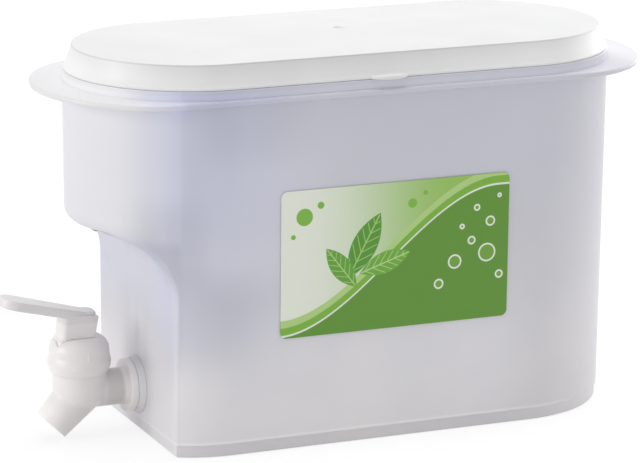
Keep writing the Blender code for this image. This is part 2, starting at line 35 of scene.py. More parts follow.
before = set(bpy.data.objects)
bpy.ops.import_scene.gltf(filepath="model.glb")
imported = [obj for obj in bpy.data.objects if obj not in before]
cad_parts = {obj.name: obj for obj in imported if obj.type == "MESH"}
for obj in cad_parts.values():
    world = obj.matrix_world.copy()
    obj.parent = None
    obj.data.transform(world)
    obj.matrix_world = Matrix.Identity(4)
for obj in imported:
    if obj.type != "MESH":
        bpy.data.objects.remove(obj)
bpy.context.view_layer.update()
print("frame loaded:", len(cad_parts), "parts")


def deselectAll():
    if bpy.context.object and bpy.context.object.mode != "OBJECT":
        bpy.ops.object.mode_set(mode="OBJECT")
    bpy.ops.object.select_all(action="DESELECT")


def chooseObject(obj):
    deselectAll()
    obj.select_set(True)
    bpy.context.view_layer.objects.active = obj


def openEdit(obj):
    chooseObject(obj)
    bpy.ops.object.mode_set(mode="EDIT")


def closeEdit():
    bpy.ops.object.mode_set(mode="OBJECT")


def pick(obj, kind, test):
    # selects the verts, edges or faces that pass the test; the test may read the old selection
    mesh = bmesh.from_edit_mesh(obj.data)
    getattr(mesh, kind).index_update()
    chosen = [item.index for item in getattr(mesh, kind) if test(item)]
    bpy.ops.mesh.select_mode(type={"verts": "VERT", "edges": "EDGE", "faces": "FACE"}[kind])
    bpy.ops.mesh.select_all(action="DESELECT")
    mesh = bmesh.from_edit_mesh(obj.data)
    items = getattr(mesh, kind)
    items.ensure_lookup_table()
    for index in chosen:
        items[index].select_set(True)
    mesh.select_flush_mode()
    bmesh.update_edit_mesh(obj.data)


def selectAll():
    bpy.ops.mesh.select_all(action="SELECT")


def selectedVerts(obj):
    mesh = bmesh.from_edit_mesh(obj.data)
    mesh.verts.index_update()
    return {vert.index for vert in mesh.verts if vert.select}


def closeMesh(obj, distance=1e-6):
    # merges doubles and turns every face outwards
    openEdit(obj)
    selectAll()
    bpy.ops.mesh.remove_doubles(threshold=distance)
    bpy.ops.mesh.normals_make_consistent(inside=False)
    closeEdit()


def useModifier(obj, kind, **settings):
    # adds one modifier, sets it and applies it
    chooseObject(obj)
    modifier = obj.modifiers.new(kind.lower(), kind)
    for key, value in settings.items():
        setattr(modifier, key, value)
    bpy.ops.object.modifier_apply(modifier=modifier.name)


def combine(obj, other, operation):
    useModifier(obj, "BOOLEAN", object=other, operation=operation, solver="EXACT")
    bpy.data.objects.remove(other)
    closeMesh(obj, 5e-6)


def cut(obj, other):
    combine(obj, other, "DIFFERENCE")


def join(obj, other):
    combine(obj, other, "UNION")


def bakePlace(obj):
    chooseObject(obj)
    bpy.ops.object.transform_apply(location=True, rotation=True, scale=True)


def movePiece(obj, location=(0, 0, 0), rotation=(0, 0, 0), scale=(1, 1, 1)):
    obj.location, obj.rotation_euler, obj.scale = location, rotation, scale
    bakePlace(obj)


def ovalLoft(name, straight, rings, steps, without=None):
    # level rings of (height, reach of each round end, half width), the first and last closed by a face
    z, reach, halfWidth = rings[0]
    bpy.ops.mesh.primitive_circle_add(vertices=steps, radius=1, fill_type="NGON", location=(0, 0, z),
                                      rotation=(0, 0, math.pi / steps))
    obj = bpy.context.object
    obj.name = obj.data.name = name
    bakePlace(obj)
    openEdit(obj)
    for side in (1, -1):
        pick(obj, "verts", lambda vert: vert.co.x * side > 0)
        bpy.ops.transform.resize(value=(reach, halfWidth, 1), center_override=(0, 0, z))
        pick(obj, "verts", lambda vert: vert.co.x * side > 0)
        bpy.ops.transform.translate(value=(side * straight, 0, 0))
    if without:
        pick(obj, "verts", without)
        bpy.ops.mesh.dissolve_verts()
    selectAll()
    for (lowZ, lowReach, lowWidth), (z, reach, halfWidth) in zip(rings, rings[1:]):
        bpy.ops.mesh.extrude_region_move(TRANSFORM_OT_translate={"value": (0, 0, z - lowZ)})
        ring = selectedVerts(obj)
        for side in (1, -1):
            pick(obj, "verts", lambda vert: vert.index in ring and vert.co.x * side > 0)
            bpy.ops.transform.resize(value=(reach / lowReach, halfWidth / lowWidth, 1),
                                     center_override=(side * straight, 0, z))
        pick(obj, "verts", lambda vert: vert.index in ring)
    closeEdit()
    closeMesh(obj)
    return obj


def drawLine(name, points):
    # a chain of edges drawn by extruding one vertex from point to point
    bpy.ops.mesh.primitive_plane_add(size=0.001, location=points[0])
    obj = bpy.context.object
    obj.name = obj.data.name = name
    bakePlace(obj)
    openEdit(obj)
    bpy.ops.mesh.select_mode(type="VERT")
    selectAll()
    bpy.ops.mesh.merge(type="CENTER")
    for start, end in zip(points, points[1:]):
        step = [b - a for a, b in zip(start, end)]
        bpy.ops.mesh.extrude_region_move(TRANSFORM_OT_translate={"value": step})
    return obj


def turnedSolid(name, profile, steps=96, axis="Z"):
    # a profile of (radius, place along the axis), drawn once and spun round
    obj = drawLine(name, [(radius, 0, along) for radius, along in profile])
    selectAll()
    if profile[0][0] > 0:
        pick(obj, "verts", lambda vert: len(vert.link_edges) == 1)
        bpy.ops.mesh.edge_face_add()
        selectAll()
    bpy.ops.mesh.spin(steps=steps, angle=2 * math.pi, center=(0, 0, 0), axis=(0, 0, 1))
    closeEdit()
    closeMesh(obj)
    turns = {"X": (0, math.pi / 2, 0), "Y": (-math.pi / 2, 0, 0)}
    if axis in turns:
        movePiece(obj, rotation=turns[axis])
    return obj


def toAxis(points):
    # a profile closed at both ends by a flat face that reaches the axis
    return [(0, points[0][1]), *points, (0, points[-1][1])]


def roundBar(name, radius, start, end, steps, axis="Z"):
    return turnedSolid(name, toAxis([(radius, start), (radius, end)]), steps, axis)


def cutRound(obj, name, radius, start, end, steps, axis="Z", location=(0, 0, 0)):
    bar = roundBar(name, radius, start, end, steps, axis)
    movePiece(bar, location=location)
    cut(obj, bar)


def flatSolid(name, outline, low, high, plane="XZ"):
    # an outline filled and pulled to a thickness, along Y for plane XZ or along Z for plane XY
    if plane == "XZ":
        start = [(a, low, b) for a, b in outline]
        pull = (0, high - low, 0)
    else:
        start = [(a, b, low) for a, b in outline]
        pull = (0, 0, high - low)
    obj = drawLine(name, start)
    selectAll()
    bpy.ops.mesh.edge_face_add()
    bpy.ops.mesh.extrude_region_move(TRANSFORM_OT_translate={"value": pull})
    closeEdit()
    closeMesh(obj)
    return obj


def rectangle(left, low, right, high):
    return [(left, low), (right, low), (right, high), (left, high)]


def arcPoints(centreX, centreY, radius, startDegrees, endDegrees, steps):
    points = []
    for step in range(steps + 1):
        angle = math.radians(startDegrees + (endDegrees - startDegrees) * step / steps)
        points.append((centreX + radius * math.cos(angle), centreY + radius * math.sin(angle)))
    return points


def cutOff(obj, place, direction):
    # cuts off what lies past a plane and closes the cut
    openEdit(obj)
    selectAll()
    bpy.ops.mesh.bisect(plane_co=place, plane_no=direction, use_fill=True, clear_outer=True)
    closeEdit()
    closeMesh(obj)


def softenEdges(obj, width, segments=3, degrees=35):
    useModifier(obj, "BEVEL", width=width, segments=segments, limit_method="ANGLE",
                angle_limit=math.radians(degrees), use_clamp_overlap=True, miter_outer="MITER_ARC")


def bevelEdges(obj, test, width, segments):
    openEdit(obj)
    pick(obj, "edges", test)
    bpy.ops.mesh.bevel(offset=width, segments=segments, profile=0.5, clamp_overlap=False, affect="EDGES")
    closeEdit()


def finishShading(obj, degrees=35):
    chooseObject(obj)
    bpy.ops.object.shade_smooth_by_angle(angle=math.radians(degrees))
    useModifier(obj, "WEIGHTED_NORMAL", mode="FACE_AREA", keep_sharp=True)


def melt(obj, voxel, rounds):
    # turns joined forms into one moulded skin, with soft blends where they met
    useModifier(obj, "REMESH", mode="VOXEL", voxel_size=voxel, adaptivity=0)
    useModifier(obj, "SMOOTH", factor=0.5, iterations=rounds)
    chooseObject(obj)
    bpy.ops.object.shade_smooth()


def finishPiece(obj, body, material, slot, *standsFor):
    obj.data.materials.clear()
    obj.data.materials.append(material)
    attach(obj, body)
    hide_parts(*standsFor)
    print("piece", obj.name, len(obj.data.polygons), "faces")


def linearColour(hexText):
    channels = []
    for start in (1, 3, 5):
        value = int(hexText[start:start + 2], 16) / 255
        channels.append(value / 12.92 if value <= 0.04045 else ((value + 0.055) / 1.055) ** 2.4)
    return (*channels, 1)


def newMaterial(name):
    material = bpy.data.materials.new(name)
    material.use_nodes = True
    tree = material.node_tree
    return material, partial(addNode, tree), tree.nodes["Principled BSDF"]


def addNode(tree, kind, inputs=None, **settings):
    # An input takes a fixed value, a hex colour, another node's output, or another node, which stands for
    # its first output in use. MapRange has 0 for its value, 1 and 2 for the range read and 3 and 4 for the
    # range given; Mix has 0 for its share and 6 and 7 for its two colours.
    node = tree.nodes.new("ShaderNode" + kind)
    for key, value in settings.items():
        setattr(node, key, value)
    for key, value in (inputs or {}).items():
        if isinstance(value, str):
            value = linearColour(value)
        if isinstance(value, bpy.types.Node):
            value = next(output for output in value.outputs if output.enabled)
        if isinstance(value, bpy.types.NodeSocket):
            tree.links.new(value, node.inputs[key])
        else:
            node.inputs[key].default_value = value
    return node


def link(node, shader, key):
    shader.id_data.links.new(next(output for output in node.outputs if output.enabled), shader.inputs[key])


# Places that several painted lights and shades of the frosted wall share. Each fade is (axis, start, end): 0 at
# start, 1 at end.
frontSide = ("Y", -0.015, -0.045)
recessWall = ("X", -0.0985, -0.1012)
recessFace = ("X", -0.099, -0.1005)
pastRecess = ("X", -0.101, -0.1)
leftGrip, rightGrip = ("X", -0.11, -0.125), ("X", 0.12, 0.135)
flangeUp, flangeTop = ("Z", 0.164, 0.1646), ("Z", 0.1668, 0.1674)

frostedLook = dict(
    # painted shade and painted floor light: the upper colour is the wall's shaded tone, the lower its lit tone
    shadedUpperColour="#DAD9E1", litLowerColour="#E8E5E7", cloudColour="#D2D2DB", lowerHeight=0.01, upperHeight=0.12,
    cloudSize=0.045, cloudShare=0.35, streakSize=0.004, streakStretch=0.04, streakBump=0.1, streakDepth=0.0004,
    grainSize=0.0007, grainBump=0.12, grainDepth=0.0001, roughness=0.42, ior=1.49,
    # painted light and shade: how much lighter or darker the milky wall is painted, each share where all its
    # fades allow
    paintedLight=(
        # painted light on the overhang's round end and on the right grip, which face the lamps, and painted
        # bluish shade at the top of the recess, under the overhang
        ((0.12, 0.12, 0.06), (("X", -0.1, -0.124), ("Z", 0.1, 0.11))),
        ((-0.02, 0.0, 0.05), (recessWall, ("Z", 0.045, 0.07), ("Y", -0.052, -0.04), ("Z", 0.104, 0.095))),
        (0.15, (("X", 0.128, 0.142),)),
        # shade painted at the arch of the recess, and painted bluish shade on the wall beside it
        (-0.13, (("X", -0.131, -0.114), ("X", -0.076, -0.1), ("Z", 0.128, 0.107), ("Z", 0.07, 0.09),
                 ("Y", -0.03, -0.046))),
        ((-0.03, -0.01, 0.06), (("X", -0.124, -0.1), ("X", -0.03, -0.08), ("Z", 0.03, 0.065), frontSide)),
        # painted light in a patch left of the label, and a slightly bluer wall high on the right as painted
        # shade
        (0.08, (("X", -0.098, -0.084), ("X", -0.015, -0.055), ("Z", 0.068, 0.095), ("Z", 0.155, 0.125),
                frontSide)),
        ((-0.01, 0.0, 0.03), (("X", 0.11, 0.08), ("Z", 0.09, 0.13))),
        # both grips a little warmer
        ((0.01, 0.0, -0.05), (leftGrip, flangeUp)),
        ((0.01, 0.0, -0.05), (rightGrip, flangeUp)),
        # painted shade where the overhang starts, beside the recess and high on the left
        (-0.07, (("X", -0.106, -0.094), ("X", -0.066, -0.088), ("Z", 0.105, 0.13), frontSide)),
        (-0.12, (pastRecess, ("X", -0.05, -0.085), ("Z", 0.03, 0.058), ("Z", 0.096, 0.07), frontSide)),
        (-0.04, (("X", -0.094, -0.08), ("X", -0.03, -0.06), ("Z", 0.13, 0.15))),
        # painted light low on the wall, where the floor's light reaches it, with a painted highlight line over
        # the foot's step
        (0.12, (("Z", 0.085, 0.038), ("Z", 0.006, 0.0066), pastRecess, ("X", 0.085, 0.05))),
        (0.13, (("Z", 0.0059, 0.0063), ("Z", 0.0078, 0.0069), ("X", -0.11, -0.095), ("X", 0.105, 0.08))),
        # the recess's wall: painted shade high, under the overhang, painted light low, a painted highlight at
        # its front edge, and painted light behind the tap that lightens the tap's cast shadow
        (-0.11, (recessWall, ("Z", 0.104, 0.098))),
        (0.07, (recessWall, ("Z", 0.052, 0.03))),
        (0.05, (recessFace, ("Y", -0.044, -0.052))),
        (0.13, (recessFace, ("Y", 0.014, 0.003), ("Y", -0.014, -0.004), ("Z", 0.068, 0.052))),
        # painted light on the collar and on the grips' top faces, which face the lamps above
        (0.11, (("Z", 0.1712, 0.1685), ("Z", 0.1671, 0.1673))),
        (0.07, (leftGrip, flangeTop)),
        (0.13, (rightGrip, flangeTop)),
    ),
)


def addPaintedLight(add, place, colour, paintedLight):
    # paints light and shade: multiplies a colour by one plus each tint's amount, where its fades allow
    split = add("SeparateXYZ", {0: place})
    shade = (1.0, 1.0, 1.0)
    for amount, fades in paintedLight:
        share = 1.0
        for axis, start, end in fades:
            fade = add("MapRange", {0: split.outputs[axis], 1: start, 2: end}, interpolation_type="SMOOTHSTEP")
            share = add("Math", {0: fade, 1: share}, operation="MULTIPLY")
        change = amount if isinstance(amount, tuple) else (amount, amount, amount)
        shade = add("VectorMath", {0: share, 1: change, 2: shade}, operation="MULTIPLY_ADD")
    return add("VectorMath", {0: colour, 1: shade}, operation="MULTIPLY")


def makeFrosted():
    # Natural polypropylene, injection moulded: milky, painted darker and bluer high up as shade and lighter
    # low down as the floor's light, with a satin skin from the mould's fine spark texture and faint upright flow
    # streaks
    look = frostedLook
    material, add, shader = newMaterial("mouldedNaturalPolypropylene")
    place = add("TexCoord").outputs["Object"]
    split = add("SeparateXYZ", {0: place})
    # painted shade and painted floor light: from the lit lower colour low down to the shaded upper colour high
    # up
    height = add("MapRange", {0: split.outputs["Z"], 1: look["lowerHeight"], 2: look["upperHeight"]},
                 interpolation_type="SMOOTHSTEP")
    clouds = add("TexNoise", {"Vector": place, "Scale": 1 / look["cloudSize"], "Detail": 2.0, "Roughness": 0.5})
    paintedShadeBase = add("Mix", {0: height, 6: look["litLowerColour"], 7: look["shadedUpperColour"]}, data_type="RGBA")
    cloudShare = add("MapRange", {0: clouds, 1: 0.35, 2: 0.75, 3: 0.0, 4: look["cloudShare"]})
    tinted = add("Mix", {0: cloudShare, 6: paintedShadeBase, 7: look["cloudColour"]}, data_type="RGBA")
    link(addPaintedLight(add, place, tinted, look["paintedLight"]), shader, "Base Color")
    stretch = add("Mapping", {"Vector": place, "Scale": (1, 1, look["streakStretch"])})
    streaks = add("TexNoise", {"Vector": stretch, "Scale": 1 / look["streakSize"], "Detail": 2.0})
    grain = add("TexNoise", {"Vector": place, "Scale": 1 / look["grainSize"], "Detail": 1.0})
    rough = add("MapRange", {0: streaks, 1: 0.3, 2: 0.7, 3: look["roughness"] - 0.04,
                             4: look["roughness"] + 0.05})
    link(rough, shader, "Roughness")
    streakBump = add("Bump", {"Height": streaks, "Strength": look["streakBump"],
                              "Distance": look["streakDepth"]})
    grainBump = add("Bump", {"Height": grain, "Strength": look["grainBump"], "Distance": look["grainDepth"],
                             "Normal": streakBump})
    link(grainBump, shader, "Normal")
    shader.inputs["IOR"].default_value = look["ior"]
    return material


plasticLook = dict(cloudSize=0.03, reliefDepth=0.0001, ior=1.5)


def makePlastic(name, colour, shadeColour, roughness, grainSize, bump, paintedLight=()):
    # one moulded plastic: slightly uneven tone over centimetres, fine mould grain under a satin gloss,
    # and painted light and shade where given
    look = plasticLook
    material, add, shader = newMaterial(name)
    place = add("TexCoord").outputs["Object"]
    clouds = add("TexNoise", {"Vector": place, "Scale": 1 / look["cloudSize"], "Detail": 2.0})
    share = add("MapRange", {0: clouds, 1: 0.35, 2: 0.7})
    tone = add("Mix", {0: share, 6: colour, 7: shadeColour}, data_type="RGBA")
    link(addPaintedLight(add, place, tone, paintedLight) if paintedLight else tone, shader, "Base Color")
    grain = add("TexNoise", {"Vector": place, "Scale": 1 / grainSize, "Detail": 2.0})
    rough = add("MapRange", {0: grain, 1: 0.3, 2: 0.7, 3: roughness - 0.03, 4: roughness + 0.04})
    link(rough, shader, "Roughness")
    relief = add("Bump", {"Height": grain, "Strength": bump, "Distance": look["reliefDepth"]})
    link(relief, shader, "Normal")
    shader.inputs["IOR"].default_value = look["ior"]
    return material


steelLook = dict(lineSize=0.0003, brightColour="#D8D8DA", smoothest=0.22, roughest=0.36)


def makeSteel(name, colour, along):
    # drawn stainless wire: bright, with fine lines along the wire from the drawing die
    look = steelLook
    material, add, shader = newMaterial(name)
    place = add("TexCoord").outputs["Object"]
    stretch = add("Mapping", {"Vector": place, "Scale": along})
    lines = add("TexNoise", {"Vector": stretch, "Scale": 1 / look["lineSize"]})
    rough = add("MapRange", {0: lines, 1: 0.3, 2: 0.7, 3: look["smoothest"], 4: look["roughest"]})
    link(rough, shader, "Roughness")
    tone = add("Mix", {0: lines, 6: colour, 7: look["brightColour"]}, data_type="RGBA")
    link(tone, shader, "Base Color")
    shader.inputs["Metallic"].default_value = 1.0
    return material


frosted = makeFrosted()

# painted shade high on the skirt, just under the crease; the top painted a little darker left and lighter right
underCrease = ("Z", 0.18305, 0.1829)
lidPaintedLight = (
    (-0.14, (underCrease, ("Z", 0.1819, 0.1825))),
    (-0.06, (underCrease, ("Z", 0.1755, 0.1825))),
    (-0.03, (("X", -0.08, -0.11), ("Z", 0.18285, 0.1831))),
    (0.07, (("X", 0.000, 0.08), ("Z", 0.18305, 0.18285))),
)
# White polypropylene with titanium pigment, injection moulded: opaque satin, whiter than the tub
lidPlastic = makePlastic("mouldedWhitePolypropylene", "#F1F1F1", "#EDEDEE", 0.38, 0.0008, 0.06, lidPaintedLight)

tapPaintedLight = (
    # painted light at the spout's tip and over all that lies furthest forward
    (0.13, (("X", -0.139, -0.147), ("Z", 0.021, 0.013))),
    (0.03, (("X", -0.136, -0.144),)),
    # painted shade behind the barrel, at the head's rear and on the shank
    (-0.08, (("X", -0.129, -0.12),)),
    (-0.05, (("X", -0.127, -0.121), ("Z", 0.034, 0.04))),
    (-0.11, (("X", -0.1205, -0.118), ("X", -0.11, -0.1125))),
    # painted light on the flange at the washer, painted shade under the barrel and on the paddle
    (0.19, (("X", -0.112, -0.1095),)),
    (-0.09, (("X", -0.1375, -0.131), ("Z", 0.022, 0.012))),
    (-0.08, (("Z", 0.055, 0.056),)),
)
# Milky low-density polyethylene, injection moulded: soft waxy gloss without visible grain
tapPlastic = makePlastic("mouldedMilkyPolyethylene", "#F1EDEC", "#EDE9E8", 0.3, 0.001, 0.04, tapPaintedLight)
# Clear-white silicone, press cured: matt, slightly warm
silicone = makePlastic("curedClearSilicone", "#E9E8EA", "#E4E3E6", 0.5, 0.0006, 0.1)
# Drawn stainless wire: a bright pin, and a slightly darker spring
pinSteel = makeSteel("drawnStainlessPin", "#C4C4C6", (1, 0.05, 1))
springSteel = makeSteel("drawnStainlessSpringWire", "#BDBDC0", (1, 1, 0.3))
print("plain materials made")


tub = dict(
    straight=0.0757, radius=0.0587, draft=0.008, wall=0.0022, floor=0.003, footHeight=0.0054, footInset=0.0007,
    footRound=0.0009, floorRound=0.003, flangeZ=0.1645, flangeThickness=0.0027, flangeStraight=0.097,
    flangeReach=0.0529, flangeHalfWidth=0.0609, flangeRound=0.0011, collarTop=0.1717, rimRound=0.0007,
    recessX=-0.1021, recessCeiling=0.1019, recessFillet=0.0275,
    # the recess's edges are rounded by recessEdge at the foot, and by more above edgeFadeLow, up to ceilingEdge
    recessEdge=0.0018, ceilingEdge=0.0048, edgeFadeLow=0.085, edgeSegments=5,
    # the round end has this many divisions in all, and the recess's arch is divided where they meet it
    steps=80, firstRoundStep=5, recessSideStep=14, lowRoundHeights=(0.0768, 0.0797, 0.0826), roundGap=0.0015,
    roundRefinings=12, holeRadius=0.0081, holeStart=-0.004, holeEnd=0.006, tapZ=0.0218, margin=0.005,
)
# a rounded corner as three points: shares of its size along the one face and in from the other
cornerShares = ((0, 1), (0.3, 0.3), (1, 0))


def tubRadius(z):
    return tub["radius"] - tub["draft"] * (tub["flangeZ"] - z)


def recessOutline(inset):
    # the recess seen along Y, grown by the inset; its arch is divided where the wall's divisions meet it
    wallX = tub["recessX"] + inset
    footX = wallX + tub["footInset"]
    footTop = tub["footHeight"]
    radius = tub["recessFillet"] + inset
    centreX = tub["recessX"] - tub["recessFillet"]
    centreZ = tub["recessCeiling"] - tub["recessFillet"]
    outsideX = -(tub["straight"] + tub["radius"] + tub["margin"])
    low = -tub["margin"]
    if inset:
        outline = [(outsideX, low), (footX, low)]
    else:
        footRound = tub["footRound"]
        outline = [(outsideX, low), (footX + footRound, low)]
        outline += [(footX + inward * footRound, up * footRound) for up, inward in cornerShares]
    outline += [(footX, footTop), (wallX, footTop + tub["footInset"]), (wallX, centreZ)]
    rounded = [(centreX + math.sqrt(radius ** 2 - (z - centreZ) ** 2), z) for z in tub["lowRoundHeights"]]
    for half in range(2 * tub["firstRoundStep"], 2 * tub["recessSideStep"]):
        angle = math.pi * (half + 1) / tub["steps"]
        z = centreZ
        for _ in range(tub["roundRefinings"]):
            x = -tub["straight"] - tubRadius(z) * math.cos(angle)
            inside = radius ** 2 - (x - centreX) ** 2
            z = centreZ + math.sqrt(max(inside, 0))
        if z > tub["lowRoundHeights"][-1] + tub["roundGap"]:
            rounded.append((x, z))
    outline += sorted(rounded, reverse=True)
    lastX, lastZ = outline[-1]
    slope = (centreZ + radius - lastZ) / (lastX + tub["straight"] + tub["radius"])
    outline.append((outsideX, lastZ + slope * (lastX - outsideX)))
    return outline


def besideRecess(vert, slack=0.01):
    # the two divisions that would lie inside the round of the recess's upright edges
    angle = 2 * math.pi * (tub["recessSideStep"] + 0.5) / tub["steps"]
    return abs(math.atan2(abs(vert.co.y), -vert.co.x - tub["straight"]) - angle) < slack


def ringList(places):
    # (height, radius) pairs as loft rings with round ends
    return [(z, radius, radius) for z, radius in places]


def roundRecessEdges(body, stepZ):
    # a small round on the recess's upright edges, growing to the wide one under the overhang
    recessX, ceiling = tub["recessX"], tub["recessCeiling"]

    def inRecess(face):
        middle = face.calc_center_median()
        return middle.x < recessX + 0.0015 and abs(middle.y) < 0.012 and middle.z < ceiling + 0.0011

    def onRecessEdge(edge):
        # edges above the foot where a face of the recess meets the tub's outer wall
        if len(edge.link_faces) != 2 or min(vert.co.z for vert in edge.verts) < stepZ - 1e-5:
            return False
        across = [abs(face.normal.y) < 1e-4 and inRecess(face) for face in edge.link_faces]
        return across[0] != across[1]

    openEdit(body)
    pick(body, "edges", onRecessEdge)
    bpy.ops.transform.edge_bevelweight(value=1.0)
    closeEdit()
    weights = body.data.attributes["bevel_weight_edge"].data
    for edge in body.data.edges:
        if weights[edge.index].value > 0:
            height = sum(body.data.vertices[number].co.z for number in edge.vertices) / 2
            share = min(max((height - tub["edgeFadeLow"]) / (ceiling - tub["edgeFadeLow"]), 0), 1)
            weights[edge.index].value = tub["recessEdge"] / tub["ceilingEdge"] * (1 - share) + share
    useModifier(body, "BEVEL", width=tub["ceilingEdge"], segments=tub["edgeSegments"], limit_method="WEIGHT",
                use_clamp_overlap=False)


def makeContainer():
    straight, steps, margin, collarTop = tub["straight"], tub["steps"], tub["margin"], tub["collarTop"]
    foot, footRound = tubRadius(0) - tub["footInset"], tub["footRound"]
    stepZ = tub["footHeight"] + tub["footInset"]
    outer = [(up * footRound, foot - inward * footRound) for up, inward in cornerShares]
    outer += [(tub["footHeight"], foot), (stepZ, tubRadius(stepZ)), (collarTop, tubRadius(collarTop))]
    body = ovalLoft("waterContainer", straight, ringList(outer), steps, besideRecess)
    reach = tub["radius"] + margin
    cut(body, flatSolid("recess", recessOutline(0), -reach, reach))
    closeMesh(body, 2e-5)
    roundRecessEdges(body, stepZ)

    low, high = tub["flangeZ"], tub["flangeZ"] + tub["flangeThickness"]
    small, flangeReach, halfWidth = tub["flangeRound"], tub["flangeReach"], tub["flangeHalfWidth"]
    flange = [(low + up * small, flangeReach - inward * small, halfWidth - inward * small)
              for up, inward in cornerShares]
    flange += [(high - down * small, flangeReach - inward * small, halfWidth - inward * small)
               for down, inward in reversed(cornerShares)]
    join(body, ovalLoft("flange", tub["flangeStraight"], flange, steps))

    floor, wall, corner = tub["floor"], tub["wall"], tub["floorRound"]
    inner = [(floor + up * corner, tubRadius(floor) - wall - inward * corner) for up, inward in cornerShares]
    inner.append((collarTop + margin, tubRadius(collarTop) - wall))
    cavity = ovalLoft("cavity", straight, ringList(inner), steps)
    cut(cavity, flatSolid("recessInside", recessOutline(wall), -reach, reach))
    cut(body, cavity)
    cutRound(body, "tapHole", tub["holeRadius"], tub["recessX"] + tub["holeStart"],
             tub["recessX"] + tub["holeEnd"], 48, "X", (0, 0, tub["tapZ"]))
    closeMesh(body, 1e-6)
    bevelEdges(body, lambda edge: all(vert.co.z > collarTop - 1e-5 for vert in edge.verts)
               and abs(edge.calc_face_angle(0)) > 1, tub["rimRound"], 3)
    finishShading(body, 32)
    return body


container = makeContainer()
finishPiece(container, "jug", frosted, "container", "container")


lidSizes = dict(
    straight=0.0757, edgeZ=0.17178, edgeRadius=0.0583, bandTopZ=0.1768, creaseZ=0.183, topRadius=0.0543,
    crown=0.0017, topThickness=0.002, ribZ=0.164, ribRadius=0.0561, ribThickness=0.0017, ribRound=0.0003,
    beadHeight=0.0009, beadRound=0.0003, beadInset=0.0002, skirtInset=0.0004, skirtFlare=1.35, steps=120,
    # small corners as (height, radius) steps from the corner
    ceilingCorner=((0, -0.0026), (-0.0006, -0.0014), (-0.002, -0.001)),
    ribCorner=((0, -0.0009), (0.0004, -0.0004), (0.001, 0)),
    edgeCorner=((0, -0.0004), (0.0001, -0.0001), (0.0004, 0)),
    creaseCorner=((-0.0003, 0), (-0.0001, -0.0001), (0, -0.0004)),
    # where the skirt's curve and the crowned top have their rings, as shares of the way
    skirtShares=(0.08, 0.2, 0.35, 0.5, 0.65, 0.8, 0.92), crownShares=(0.97, 0.9, 0.75, 0.55, 0.35, 0.15, 0.05),
    tabLength=0.021, tabReach=0.004, tabRoot=0.001,
    # the tab's rim and the dimple's wall as (radius, height) steps from rim and top
    tabRim=((-0.0005, 0.0017), (-0.0001, 0.0014), (0, 0.0008), (0, 0.0003), (-0.0003, 0)), dimpleRadius=0.0034,
    dimpleWall=((0.0002, 0.003), (0.0002, -0.00005), (0, -0.0002), (-0.0001, -0.0005), (-0.0004, -0.0008)),
)


def makeLid():
    size = lidSizes
    edgeZ, edge, crease, top = size["edgeZ"], size["edgeRadius"], size["creaseZ"], size["topRadius"]
    rib, ribZ, small, beadZ = size["ribRadius"], size["ribZ"], size["ribRound"], edgeZ + size["beadHeight"]
    inner = rib - size["ribThickness"]

    def cornerAt(z, radius, corner):
        return [(z + up, radius + out) for up, out in size[corner]]

    profile = cornerAt(crease - size["topThickness"], inner, "ceilingCorner")
    profile += [(size["bandTopZ"], inner), (ribZ + small, inner), (ribZ, inner + small)]
    profile += cornerAt(ribZ, rib, "ribCorner")
    profile += [(edgeZ - small, rib), (edgeZ, rib + small)]
    profile += cornerAt(edgeZ, edge, "edgeCorner")
    profile += [(beadZ, edge), (beadZ + size["beadRound"], edge - size["beadInset"])]
    low = profile[-1][0]
    for share in size["skirtShares"]:
        out = (edge - size["skirtInset"] - top) * (1 - share) ** size["skirtFlare"]
        profile.append((low + (crease - low) * share, top + out))
    profile += cornerAt(crease, top, "creaseCorner")
    profile += [(crease + size["crown"] * (1 - share ** 2), top * share) for share in size["crownShares"]]
    lid = ovalLoft("pressInLid", size["straight"], ringList(profile), size["steps"])

    length, tabReach = size["tabLength"], size["tabReach"]
    tab = turnedSolid("pullTab", toAxis([(length / 2 + out, edgeZ + up) for out, up in size["tabRim"]]), 96)
    movePiece(tab, location=(0, -(edge - tabReach), 0), scale=(1, 4 * tabReach / length, 1))
    # only the part of the tab that stands outside the skirt is kept
    cutOff(tab, (0, -(edge - size["tabRoot"]), 0), (0, 1, 0))
    join(lid, tab)
    topZ, radius = crease + size["crown"], size["dimpleRadius"]
    dimple = turnedSolid("dimple", toAxis([(radius + out, topZ + up) for out, up in size["dimpleWall"]]), 48)
    cut(lid, dimple)
    closeMesh(lid)
    finishShading(lid, 32)
    return lid


lid = makeLid()
finishPiece(lid, "lid", lidPlastic, "lid", "lid")


labelSizes = dict(length=0.115, height=0.0693, centreX=0.004, centreZ=0.0882, corner=0.003, thickness=0.0003,
                  gap=0.0003, edge=0.0001)


def makeLabel():
    size = labelSizes
    corner, thickness = size["corner"], size["thickness"]
    halfX, halfZ = size["length"] / 2 - corner, size["height"] / 2 - corner
    outline = []
    for sideX, sideZ, start in ((1, 1, 0), (-1, 1, 90), (-1, -1, 180), (1, -1, 270)):
        outline += arcPoints(sideX * halfX, sideZ * halfZ, corner, start, start + 90, 8)
    film = flatSolid("labelFilm", outline, -thickness / 2, thickness / 2)
    softenEdges(film, size["edge"], 2)
    wallY = -(tubRadius(size["centreZ"]) + size["gap"] + thickness / 2)
    movePiece(film, rotation=(math.atan(tub["draft"]), 0, 0), location=(size["centreX"], wallY, size["centreZ"]))
    finishShading(film)
    return film


